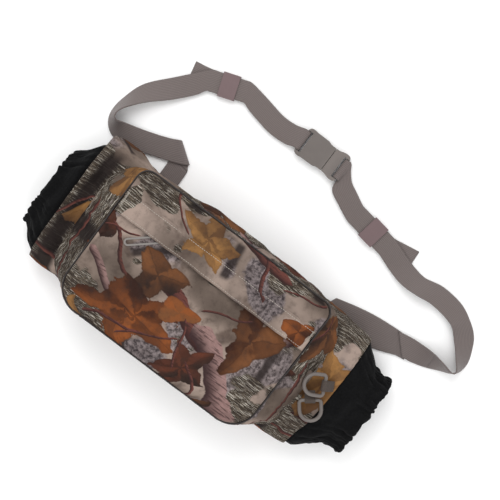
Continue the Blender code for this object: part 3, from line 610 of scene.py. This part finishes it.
def gathered_cuff(side, reach, sideways, folds, lean):
    sign = -1.0 if side == "left" else 1.0
    start = LINING_REACH + 4.0
    hem = reach - 10.0
    bend = LINING_REACH + 18.0
    profile = np.array(
        [
            (0.0, start, 7.0),
            (0.1, start + 8, 5.6),
            (0.2, bend + 2, 3.8),
            (0.42, (bend + hem) / 2, 4.6),
            (0.66, hem, 8.0),
            (0.76, reach - 2, 8.2),
            (0.83, reach, 10.6),
            (0.9, reach - 2, 13.2),
            (1.0, hem - 6, 13.6),
        ]
    )

    def gather(u, v):
        x = float(np.interp(u, profile[:, 0], profile[:, 1]))
        inset = float(np.interp(u, profile[:, 0], profile[:, 2]))
        angle = sign * math.tau * v
        walk = Vector((math.cos(angle) * 2.6, math.sin(angle) * 2.6, folds))
        wander = noise.noise(walk)
        uneven = 0.55 + 0.9 * noise.noise(walk * 2.3)
        ruffle = uneven * math.sin(folds * angle + 9.0 * wander)
        crumple = noise.noise(Vector((x / 10, 5 * math.cos(angle), 5 * math.sin(angle))))
        tight = min(1.0, max(0.0, (x - bend + 6) / (reach - bend))) * (1.0 if u < 0.85 else 0.4)
        inset -= tight * (1.7 * ruffle + 3.4 * crumple) + 1.2 * crumple
        inset = min(inset, 9.2) if u < 0.8 else max(inset, 12.6 if u > 0.87 else 0.0)
        edge = max(-0.3, max(0.0, (u - 0.4) / 0.6) * (2.0 * ruffle + 2.8 * wander + 0.8))
        slant = lean * (1 - math.cos(angle)) + 1.5 * (1 - math.cos(angle) ** 4)
        slant *= max(0.0, (x - start) / (reach - start))
        drift = sideways * (x - start) / (reach - start)
        return section_point(sign * (x + edge + slant), angle, max(inset, 1.9), drift)

    cuff = bent_sheet(f"cuff_{side}_fleece", 44, 300, gather, (60.0, 430.0), closed=True)
    give_wall(cuff, 0.9)
    cuff.data.materials.append(FLEECE)
    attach(cuff, "muff")
    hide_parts(f"cuff_{side}")


gathered_cuff("left", 209.0, -3.0, 31, 1.0)
gathered_cuff("right", 236.0, 3.0, 29, 0.0)

elastic = bpy.data.materials.new("woven_elastic")
elastic.use_nodes = True
elastic_tree = elastic.node_tree
elastic_place = wire(elastic_tree, "ShaderNodeTexCoord").outputs["Object"]
elastic_ribs = wire(
    elastic_tree, "ShaderNodeTexWave", {"Vector": elastic_place, "Scale": 220.0, "Distortion": 0.4}
).outputs["Fac"]
elastic_colour = dye(elastic_tree, elastic_ribs, (0.45, 0.45, 0.43), (0.7, 0.7, 0.67))
elastic_shader = elastic_tree.nodes["Principled BSDF"]
elastic_tree.links.new(elastic_colour, elastic_shader.inputs["Base Color"])
elastic_shader.inputs["Roughness"].default_value = 0.85
dress("cuff_elastic_left", elastic)
dress("cuff_elastic_right", elastic)

# Pocket gusset.
# The sloping side wall of the box pocket, one strip of the printed cloth sewn to the muff at its foot
# and gathered a little into the piped seam at its front edge.

POCKET_BASE_X, POCKET_BASE_Y, POCKET_BASE_ROUND = 158.0, 82.0, 40.0
POCKET_FRONT_X, POCKET_FRONT_Y = 129.0, 88.0
POCKET_FRONT_ROUND, POCKET_FRONT_TOP_ROUND = 32.0, 15.0
POCKET_FRONT_Z = 80.0


def round_rectangle(share, half_x, half_y, low_radius, top_radius):
    """A point on a rectangle with round corners, its four quarters taking equal shares of the way."""
    corners = ((1, 1, 0), (-1, 1, 90), (-1, -1, 180), (1, -1, 270))
    outline = []
    for side_x, side_y, start in corners:
        radius = top_radius if side_y > 0 else low_radius
        centre = Vector((side_x * (half_x - radius), side_y * (half_y - radius)))
        for i in range(13):
            angle = math.radians(start + 7.5 * i)
            outline.append(centre + radius * Vector((math.cos(angle), math.sin(angle))))
    sides = list(zip(outline, outline[1:] + outline[:1]))
    walked = share % 1.0 * sum((b - a).length for a, b in sides)
    for a, b in sides:
        length = (b - a).length
        if walked <= length:
            return a.lerp(b, walked / length)
        walked -= length
    return outline[0]


def round_foot(ray):
    """The gusset's foot in the same direction from the pocket's middle as a point of its front."""
    near, far = 0.0, 2.0
    way = Vector((POCKET_FRONT_X * math.cos(ray), POCKET_FRONT_Y * math.sin(ray)))
    straight = Vector((POCKET_BASE_X - POCKET_BASE_ROUND, POCKET_BASE_Y - POCKET_BASE_ROUND))
    for _ in range(24):
        middle = (near + far) / 2
        spot = way * middle
        over = Vector((max(abs(spot.x) - straight.x, 0.0), max(abs(spot.y) - straight.y, 0.0)))
        if over.length < POCKET_BASE_ROUND:
            near = middle
        else:
            far = middle
    return way * near


def bend_gusset(u, v):
    low_round, top_round = POCKET_FRONT_ROUND, POCKET_FRONT_TOP_ROUND
    front = round_rectangle(u, POCKET_FRONT_X + 0.4, POCKET_FRONT_Y + 0.4, low_round, top_round)
    ray = math.atan2(front.y / POCKET_FRONT_Y, front.x / POCKET_FRONT_X)
    foot = round_foot(ray)
    foot_z = muff_top(foot.x, foot.y) + 0.6
    flat = foot.lerp(front, v)
    puff = 2.4 * math.sin(math.pi * v)
    flat += flat.normalized() * puff
    return Vector((flat.x, flat.y, foot_z + (POCKET_FRONT_Z - 0.4 - foot_z) * v))


gusset = bent_sheet("pocket_gusset_cloth", 300, 18, bend_gusset, (830.0, 48.0), (-415, 150), closed=True)


def gusset_held(point):
    x, y, z = point
    return 1.0 if z > POCKET_FRONT_Z - 1.6 or z < muff_top(x, y) + 1.4 else 0.0


settle(gusset, gusset_held, 0.06, 0.6, 4.5)
give_wall(gusset, 1.0)
gusset.data.materials.append(CAMOUFLAGE)
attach(gusset, "muff")
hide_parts("pocket_gusset")

# Front panels of the pocket.
# A large lower panel and a short upper one, with the zip between them. Both are one layer of the
# printed cloth, soft enough to dent between their seams.

ZIP_Y, ZIP_HALF_GAP, PANEL_TOP = 43.0, 4.0, 81.3


def front_half_width(y):
    """Half the front's width at a height on it, less where its corners are round."""
    radius = POCKET_FRONT_TOP_ROUND if y > 0 else POCKET_FRONT_ROUND
    past = min(abs(y) - (POCKET_FRONT_Y - radius), radius)
    if past <= 0:
        return POCKET_FRONT_X
    return POCKET_FRONT_X - radius + math.sqrt(radius**2 - past**2)


def front_panel(name, node, low_y, high_y, rows, slack, print_shift):
    def spread(u, v):
        y = low_y + (high_y - low_y) * v
        return Vector(((2 * u - 1) * (front_half_width(y) - 0.4), y, PANEL_TOP))

    def held(point):
        x, y, _ = point
        near = min(front_half_width(y) - abs(x), y - low_y, high_y - y)
        return 1.0 if near < 2.2 else 0.0

    size = (2 * POCKET_FRONT_X, high_y - low_y)
    panel = bent_sheet(name, 150, rows, spread, size, (-POCKET_FRONT_X, low_y + print_shift))
    settle(panel, held, slack, 0.5, 2.2)
    give_wall(panel, 1.1)
    panel.data.materials.append(CAMOUFLAGE)
    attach(panel, "muff")
    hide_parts(node)


front_panel("lower_panel_cloth", "pocket_lower_panel", -87.6, ZIP_Y - ZIP_HALF_GAP, 76, 0.03, 0)
front_panel("upper_panel_cloth", "pocket_upper_panel", ZIP_Y + ZIP_HALF_GAP, 87.6, 26, 0.025, 50)

# Storm flap.
# A folded strip of the printed cloth, topstitched above the zip and turned down over it. Its two ends
# are caught in the side seams.

flap_profile = np.array(
    [
        (0.0, 57.0, 81.9),
        (0.12, 53.4, 82.0),
        (0.24, 49.0, 84.6),
        (0.42, 40.0, 86.1),
        (0.58, 31.2, 86.3),
        (0.62, 30.2, 85.8),
        (0.66, 31.2, 85.5),
        (0.84, 45.0, 85.4),
        (0.92, 50.0, 83.2),
        (1.0, 53.0, 81.6),
    ]
)


def fold_flap(u, v):
    x = (2 * u - 1) * (POCKET_FRONT_X - 1.2)
    y = float(np.interp(v, flap_profile[:, 0], flap_profile[:, 1]))
    z = float(np.interp(v, flap_profile[:, 0], flap_profile[:, 2]))
    ripple = noise.noise(Vector((x / 17, y / 14, 1.3)))
    loose = max(0.0, 1 - abs(2 * u - 1) ** 6) * math.sin(math.pi * min(v / 0.62, 1.0) * 0.5)
    dip = max(0.0, abs(2 * u - 1) - 0.93) / 0.07
    return Vector((x, y + 0.8 * ripple * loose, z + 0.9 * abs(ripple) * loose - 1.3 * dip * (z > 83.5)))


flap = bent_sheet("storm_flap_cloth", 150, 44, fold_flap, (256.0, -45.0), (-POCKET_FRONT_X + 1, 107))
give_wall(flap, 0.3)
flap.data.materials.append(CAMOUFLAGE)
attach(flap, "muff")
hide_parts("pocket_flap")

# Topstitching.
# Pale thread along the top and the edge of the flap, with bar tacks at its ends.

pale_thread = bpy.data.materials.new("pale_thread")
pale_thread.use_nodes = True
thread_tree = pale_thread.node_tree
thread_place = wire(thread_tree, "ShaderNodeTexCoord").outputs["Object"]
twist = cloud(thread_tree, thread_place, 2500.0, 2.0)
thread_colour = dye(thread_tree, twist, (0.32, 0.29, 0.25), (0.46, 0.41, 0.36))
thread_shader = thread_tree.nodes["Principled BSDF"]
thread_tree.links.new(thread_colour, thread_shader.inputs["Base Color"])
thread_shader.inputs["Roughness"].default_value = 0.6


def stitch_row(name, line, thread, wide=0.5):
    """Separate stitches of thread along a line of points, in millimetres."""
    made = bmesh.new()
    for start, end in zip(line[::2], line[1::2]):
        middle, run = (start + end) / 2, end - start
        turn = run.to_track_quat("X", "Z").to_matrix().to_4x4()
        size = Matrix.Diagonal((run.length * 1.3, wide, 0.35, 1.0))
        placed = Matrix.Translation(middle * MM) @ turn @ Matrix.Scale(MM, 4) @ size
        bmesh.ops.create_cube(made, size=1.0, matrix=placed)
    mesh = bpy.data.meshes.new(name)
    made.to_mesh(mesh)
    made.free()
    mesh.materials.append(thread)
    row = bpy.data.objects.new(name, mesh)
    bpy.context.scene.collection.objects.link(row)
    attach(row, "muff")


along_flap = [fold_flap(0.012 + 0.976 * i / 167, 0.1) + Vector((0, 0, 0.3)) for i in range(168)]
stitch_row("flap_topstitching", along_flap, pale_thread)
edge_line = [fold_flap(0.012 + 0.976 * i / 167, 0.555) + Vector((0, 0, 0.3)) for i in range(168)]
stitch_row("flap_edge_stitching", edge_line, pale_thread, 0.4)
tacks = []
for side in (-1, 1):
    for i in range(24):
        y = 33 + i * 0.95
        tacks += [Vector((side * 125.0, y, 85.4)), Vector((side * 126.4, y + 0.2, 84.9))]
stitch_row("flap_bar_tacks", tacks, pale_thread, 0.45)

# Piping.
# A thin cord wrapped in black tape, sewn into the seam all round the front of the pocket.


def woven_tape(name, tone):
    material = bpy.data.materials.new(name)
    material.use_nodes = True
    tree = material.node_tree
    shader = tree.nodes["Principled BSDF"]
    where = wire(tree, "ShaderNodeTexCoord").outputs["Object"]
    threads = cloud(tree, where, 900.0, 2.0, 0.6)
    colour = dye(tree, threads, tuple(0.5 * c for c in tone), tuple(1.8 * c for c in tone))
    tree.links.new(colour, shader.inputs["Base Color"])
    bump = wire(tree, "ShaderNodeBump", {"Strength": 0.4, "Distance": 0.0003, "Height": threads}).outputs[0]
    tree.links.new(bump, shader.inputs["Normal"])
    shader.inputs["Roughness"].default_value = 0.8
    return material


BLACK_TAPE = woven_tape("black_tape", (0.018, 0.014, 0.013))
piping_curve = bpy.data.curves.new("piping_cord", "CURVE")
piping_curve.dimensions = "3D"
piping_curve.bevel_depth = 0.9 * MM
piping_curve.bevel_resolution = 3
piping_line = piping_curve.splines.new("POLY")
PIPING_POINTS = 220
piping_line.points.add(PIPING_POINTS - 1)
for index, spot in enumerate(piping_line.points):
    on = round_rectangle(
        index / PIPING_POINTS,
        POCKET_FRONT_X + 0.9,
        POCKET_FRONT_Y + 0.9,
        POCKET_FRONT_ROUND,
        POCKET_FRONT_TOP_ROUND,
    )
    wave = 0.5 * noise.noise(Vector((on.x / 22, on.y / 22, 0.0)))
    spot.co = ((on.x + wave) * MM, (on.y + wave) * MM, (POCKET_FRONT_Z + 0.4 + wave) * MM, 1.0)
piping_line.use_cyclic_u = True
piping_curve.materials.append(BLACK_TAPE)
piping = bpy.data.objects.new("piping_cord", piping_curve)
bpy.context.scene.collection.objects.link(piping)
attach(piping, "muff")
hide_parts("pocket_piping")

# Zip.
# Black coil zip under the flap: two woven tapes, two rows of coil, a stop at each end, and a grey
# slider with a long looped pull that hangs out below the flap.

for node in ("zip_tape_lower", "zip_tape_upper"):
    dress(node, BLACK_TAPE)
ZIP_COIL = woven_tape("black_coil", (0.012, 0.012, 0.012))
for node in ("zip_teeth_lower", "zip_teeth_upper", "zip_stop_left", "zip_stop_right"):
    dress(node, ZIP_COIL)


def moulded(name, tone, roughness):
    """Moulded plastic with a fine grain and slightly rubbed edges."""
    material = bpy.data.materials.new(name)
    material.use_nodes = True
    tree = material.node_tree
    shader = tree.nodes["Principled BSDF"]
    where = wire(tree, "ShaderNodeTexCoord").outputs["Object"]
    grain = cloud(tree, where, 1400.0, 2.0, 0.5)
    cloudy = cloud(tree, where, 70.0, 3.0)
    edges = wire(tree, "ShaderNodeNewGeometry").outputs["Pointiness"]
    colour = dye(tree, cloudy, tuple(0.86 * c for c in tone), tuple(1.12 * c for c in tone))
    worn = sum_up(tree, "MULTIPLY", step_at(tree, edges, 0.53, 0.62), 0.35)
    colour = dye(tree, worn, colour, tuple(min(1.0, 1.7 * c) for c in tone))
    tree.links.new(colour, shader.inputs["Base Color"])
    bump = wire(tree, "ShaderNodeBump", {"Strength": 0.12, "Distance": 0.0002, "Height": grain}).outputs[0]
    tree.links.new(bump, shader.inputs["Normal"])
    shader.inputs["Roughness"].default_value = roughness
    return material


GREY_PLASTIC = moulded("grey_plastic", (0.122, 0.104, 0.095), 0.42)
GREY_METAL = moulded("grey_painted_metal", (0.16, 0.145, 0.135), 0.38)
dress("zip_slider", GREY_METAL)
dress("zip_pull", GREY_METAL)

# D-rings.
# Two moulded D-rings beside the pocket, each held by a short tab of the printed cloth, here given a plain
# dark brown woven finish.

for node in ("d_ring_upper", "d_ring_lower"):
    dress(node, GREY_PLASTIC)
TAB_CLOTH = woven_tape("tab_cloth", (0.045, 0.033, 0.027))
for node in ("d_ring_tab_upper", "d_ring_tab_lower"):
    dress(node, TAB_CLOTH)

# Belt webbing.
# Ribbed polypropylene webbing, 25 mm wide. The left length runs from the muff's back over the buckle's
# fixed bar and back to a free tail; the right one is sewn to a tapered wing on the muff's back.

WEBBING_WALL, HALF = 1.6, 12.5
MAIN_LIFT, TAIL_LIFT = 3.7, 1.8
BUCKLE_Y, BUCKLE_Z = 212.0, 5.0
BAR_CLEAR = 1.8
LEFT_BAR_X, RIGHT_BAR_X = -10.5, 44.5
OVER_BAR = BUCKLE_Z + BAR_CLEAR
UNDER_BAR = BUCKLE_Z - BAR_CLEAR - WEBBING_WALL
LEFT_KEEPER, LEFT_KEEPER_TURN = (-115.0, 210.2), 18.6
RIGHT_KEEPER, RIGHT_KEEPER_TURN = (117.3, 176.2), -9.1


def webbing_finish(name, tone):
    """Ribs along the webbing, crossed by its finer weft, with a rubbed and slightly faded face."""
    material = bpy.data.materials.new(name)
    material.use_nodes = True
    tree = material.node_tree
    shader = tree.nodes["Principled BSDF"]
    cloth = wire(tree, "ShaderNodeUVMap", uv_map="cloth").outputs[0]
    split = wire(tree, "ShaderNodeSeparateXYZ", {0: cloth})
    along, across = split.outputs[0], split.outputs[1]
    rib = sum_up(tree, "SINE", sum_up(tree, "MULTIPLY", across, math.tau / (1.9 * MM)))
    slant = sum_up(tree, "MULTIPLY_ADD", across, 0.6, along)
    weft = sum_up(tree, "SINE", sum_up(tree, "MULTIPLY", slant, math.tau / (1.5 * MM)))
    weave = sum_up(tree, "MULTIPLY_ADD", rib, 0.5, sum_up(tree, "MULTIPLY", weft, 0.25))
    faded = cloud(tree, cloth, 40.0, 4.0, 0.6)
    threads = cloud(tree, cloth, 900.0, 2.0, 0.7)
    # Painted shade in the weave's hollows and painted highlight on its crowns, following the ribs and weft.
    shaded_hollows, lit_crowns = tuple(0.62 * c for c in tone), tuple(1.22 * c for c in tone)
    colour = dye(tree, step_at(tree, weave, -0.7, 0.7), shaded_hollows, lit_crowns)
    colour = dye(tree, sum_up(tree, "MULTIPLY", faded, 0.3), colour, tuple(0.72 * c for c in tone))
    colour = dye(tree, sum_up(tree, "MULTIPLY", threads, 0.2), colour, tuple(1.5 * c for c in tone))
    tree.links.new(colour, shader.inputs["Base Color"])
    height = sum_up(tree, "MULTIPLY_ADD", threads, 0.4, weave)
    bump = wire(tree, "ShaderNodeBump", {"Strength": 0.5, "Distance": 0.0004, "Height": height}).outputs[0]
    tree.links.new(bump, shader.inputs["Normal"])
    shader.inputs["Roughness"].default_value = 0.72
    shader.inputs["Sheen Weight"].default_value = 0.15
    return material


TAUPE = webbing_finish("taupe_webbing", (0.132, 0.106, 0.1))


def smooth_stations(stations, spacing):
    """Stations along a ribbon, filled in with a centripetal Catmull-Rom curve."""
    points = [Vector(station) for station in stations]
    points = [points[0] * 2 - points[1]] + points + [points[-1] * 2 - points[-2]]
    filled = [points[1]]
    for before, start, end, after in zip(points, points[1:], points[2:], points[3:]):
        t1 = max((start - before).length, 0.1) ** 0.5
        t2 = t1 + max((end - start).length, 0.1) ** 0.5
        t3 = t2 + max((after - end).length, 0.1) ** 0.5
        run = Vector(end[:2]) - Vector(start[:2])
        pieces = max(1, round(run.length / spacing))
        for i in range(1, pieces + 1):
            t = t1 + (t2 - t1) * i / pieces
            a1 = before * ((t1 - t) / t1) + start * (t / t1)
            a2 = start * ((t2 - t) / (t2 - t1)) + end * ((t - t1) / (t2 - t1))
            a3 = end * ((t3 - t) / (t3 - t2)) + after * ((t - t2) / (t3 - t2))
            b1 = a1 * ((t2 - t) / t2) + a2 * (t / t2)
            b2 = a2 * ((t3 - t) / (t3 - t1)) + a3 * ((t - t1) / (t3 - t1))
            filled.append(b1 * ((t2 - t) / (t2 - t1)) + b2 * ((t - t1) / (t2 - t1)))
    return filled


RIB_COLUMNS = 26


def ribbon(name, stations, body, replaced=()):
    """Flat webbing. A station is x, y, lift off the table, the way across, tilt and half width."""
    smooth = smooth_stations(stations, 2.5)
    centres, sides = [], []
    for x, y, lift, across, tilt, half in smooth:
        level, steep = math.radians(across), math.radians(tilt)
        side = Vector((math.cos(level), math.sin(level), 0)) * math.cos(steep)
        side.z = math.sin(steep)
        centres.append(Vector((x, y, lift + half * abs(math.sin(steep)) + WEBBING_WALL / 2)))
        sides.append(side * half)
    length = sum((b - a).length for a, b in zip(centres, centres[1:]))
    last = len(centres) - 1

    def weave(u, v):
        spot = round(u * last)
        return centres[spot] + sides[spot] * (2 * v - 1)

    strip = bent_sheet(name, last, RIB_COLUMNS, weave, (length, 2 * HALF), (0, 0))
    solid = strip.modifiers.new("webbing_thickness", "SOLIDIFY")
    solid.thickness = (WEBBING_WALL - 0.1) * MM
    solid.offset = 0.0
    strip.data.materials.append(TAUPE)
    if isinstance(body, str):
        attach(strip, body)
    else:
        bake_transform(strip)
    if replaced:
        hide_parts(*replaced)
    return strip


def beside_keeper(keeper, turn, distances, lift, across):
    """Stations on the straight stretch through a keeper, at distances from its middle."""
    along = Vector((math.cos(math.radians(turn)), math.sin(math.radians(turn))))
    spots = [Vector(keeper) + along * distance for distance in distances]
    return [(spot.x, spot.y, lift, across, 0, HALF) for spot in spots]


LEFT_RUN = (-22, -17, -8, 8, 17, 22)


def round_bar(bar_x, side, across):
    """Stations that carry webbing over a buckle's bar, through its slot and back beneath."""
    inside = bar_x + side * (BAR_CLEAR + WEBBING_WALL / 2)
    near = bar_x - side * 4.0
    return [
        (near, BUCKLE_Y, OVER_BAR - 0.2, across, 0, HALF),
        (bar_x, BUCKLE_Y, OVER_BAR, across, 0, HALF),
        (bar_x + side * 2.3, BUCKLE_Y, OVER_BAR - 0.3, across, 0, HALF),
        (inside, BUCKLE_Y, BUCKLE_Z - WEBBING_WALL / 2, across, 0, HALF),
        (bar_x + side * 2.3, BUCKLE_Y, UNDER_BAR + 0.3, across, 0, HALF),
        (bar_x, BUCKLE_Y, UNDER_BAR, across, 0, HALF),
        (near, BUCKLE_Y, UNDER_BAR + 0.1, across, 0, HALF),
    ]


anchor_stations = [
    (-108, 68, 2.4, 0, 0, HALF),
    (-108, 79, 0.9, 0, 0, HALF),
    (-108, 92.9, 0.3, 0, 0, HALF),
    (-108.6, 104, 0.3, -8, 0, 12.7),
]
left_across = LEFT_KEEPER_TURN - 270
left_slack = [(-84, 215.3, -265), (-66, 211.6, -281), (-45, 207.9, -277), (-25, 208.8, -266)]
left_stations = [
    (-108.6, 104, 0.3, -8, 0, 12.7),
    (-111.5, 117.5, 0.3, -34, 0, 14.5),
    (-110.5, 118.9, 1.5, -36, 0, 14.8),
    (-112.5, 117.8, 2.7, -39, 0, 14.8),
    (-124, 112.5, 2.7, -58, 0, 13.2),
    (-140, 106.5, 2.7, -70, 0, HALF),
    (-165, 98.5, 2.2, -75, -4, HALF),
    (-184, 94.5, 0.8, -84, -22, HALF),
    (-198, 97.5, 0.3, -122, -55, HALF),
    (-203.5, 108, 0.3, -170, -68, HALF),
    (-200, 124, 0.3, -210, -60, HALF),
    (-188, 146, 0.8, -224, -32, HALF),
    (-164, 171, 3.0, -226, -8, HALF),
    (-147, 190, 3.7, -234, 0, HALF),
    *beside_keeper(LEFT_KEEPER, LEFT_KEEPER_TURN, LEFT_RUN, MAIN_LIFT, left_across),
]
left_stations += [(x, y, MAIN_LIFT, across, 0, HALF) for x, y, across in left_slack]
left_stations += round_bar(LEFT_BAR_X, 1, -270)
left_stations += [(x, y, TAIL_LIFT, across, 0, HALF) for x, y, across in reversed(left_slack)]
left_stations += [
    *beside_keeper(LEFT_KEEPER, LEFT_KEEPER_TURN, LEFT_RUN[::-1], TAIL_LIFT, left_across),
    (-147, 200.6, 0.9, -255, 0, HALF),
    (-160, 198.4, 0.4, -258, 0, HALF),
]
anchor_fold = ((-108 * MM, 88 * MM, 1 * MM), (-108 * MM, 96 * MM, 1 * MM))
ribbon("left_webbing_root", anchor_stations, ("muff", "belt", *anchor_fold), ["belt_anchor_left"])
ribbon("left_webbing", left_stations, "belt", ["webbing_left"])

right_across = RIGHT_KEEPER_TURN + 90
SPLIT = -4.0
RIGHT_RUN = (22, 17, 8, 2, SPLIT)
wing_end_stations = [
    (221, 91.6, 2.9, -46, 0, 15.5),
    (226, 92.6, 2.2, -48, 0, 15.0),
    (243, 95, 0.4, -76, -10, HALF),
    (260, 98, 0.4, -80, -38, HALF),
]
right_stations = [
    (260, 98, 0.4, -80, -38, HALF),
    (275, 100, 0.3, -78, -65, HALF),
    (286, 101.5, 0.3, -48, -78, HALF),
    (291, 108.5, 0.3, 0, -70, HALF),
    (287.5, 120, 0.3, 14, -48, HALF),
    (281, 131.5, 0.3, 23, -33, HALF),
    (272, 144, 0.5, 34, -18, HALF),
    (259, 154, 0.8, 52, -28, HALF),
    (243, 160, 0.8, 69, -15, HALF),
    (219, 162.5, 0.8, 85, -20, HALF),
    (198, 159.5, 0.8, 96, -34, HALF),
    (178, 160.5, 1.8, 84, -14, HALF),
    (160, 165.5, 3.2, 75, 0, HALF),
    *beside_keeper(RIGHT_KEEPER, RIGHT_KEEPER_TURN, RIGHT_RUN, MAIN_LIFT, right_across),
]
tail_stations = [
    *beside_keeper(RIGHT_KEEPER, RIGHT_KEEPER_TURN, RIGHT_RUN[::-1], TAIL_LIFT, right_across),
    (152, 174.2, 0.9, 87, 0, HALF),
    (174, 177.5, 0.4, 94, 0, HALF),
]
right_slack = [(70, 189.5, 69), (57.5, 196, 63), (51, 205, 76)]
loop_start = (SPLIT, -8, -17, -24, -29)
loop_stations = beside_keeper(RIGHT_KEEPER, RIGHT_KEEPER_TURN, loop_start, MAIN_LIFT, right_across)
loop_stations += [(x, y, MAIN_LIFT, across, 0, HALF) for x, y, across in right_slack]
loop_stations += round_bar(RIGHT_BAR_X, -1, 90)
loop_stations += [(x, y, TAIL_LIFT, across, 0, HALF) for x, y, across in reversed(right_slack)]
loop_stations += beside_keeper(RIGHT_KEEPER, RIGHT_KEEPER_TURN, loop_start[::-1], TAIL_LIFT, right_across)
wing_twist = ((231 * MM, 92 * MM, 1 * MM), (259 * MM, 98 * MM, 1 * MM))
ribbon("right_webbing_root", wing_end_stations, ("muff", "belt", *wing_twist))
ribbon("right_webbing", right_stations, "belt", ["webbing_right"])
ribbon("right_tail", tail_stations, "belt", ["tail_right"])
loop_give = ((88 * MM, 182 * MM, 4 * MM), (58 * MM, 196 * MM, 4 * MM))
ribbon("right_webbing_loop", loop_stations, ("belt", "buckle_male", *loop_give), ["webbing_right_loop"])

# Wing.
# A tapered piece of taupe cloth over thin foam, sewn to the back of the muff, to which the right
# webbing is sewn.

WING_ROOT = ((118.0, 62.0), (130.0, 90.0))
WING_END = ((236.5, 79.5), (215.5, 104.0))


def spread_wing(u, v):
    root = Vector(WING_ROOT[0]).lerp(Vector(WING_ROOT[1]), v)
    end = Vector(WING_END[0]).lerp(Vector(WING_END[1]), v)
    flat = root.lerp(end, u)
    flat.y += (1 - v) * (-9.0) * math.sin(math.pi * min(1.0, u / 0.9)) + v * 3.0 * math.sin(math.pi * u)
    wave = noise.noise(Vector((flat.x / 30, flat.y / 20, 4.0)))
    middle = 1.0 - (2 * v - 1) ** 6
    return Vector((flat.x, flat.y, 2.2 + 0.5 * middle + 0.5 * wave))


wing = bent_sheet("wing_cloth", 70, 26, spread_wing, (112.0, 34.0))
give_wall(wing, 2.0)
round_off(wing)
wing.data.materials.append(TAUPE)
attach(wing, "muff")
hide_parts("wing_right")

# Buckle and keepers.
# A side-release buckle moulded in grey plastic: housing, plug and two springy prongs. Two moulded
# bands hold the tails of the webbing.

for node in ("buckle_female", "buckle_male", "prong_back", "prong_front"):
    dress(node, GREY_PLASTIC)
KEEPER_PLASTIC = moulded("mauve_plastic", (0.108, 0.07, 0.072), 0.55)
for node in ("keeper_left", "keeper_right"):
    dress(node, KEEPER_PLASTIC)
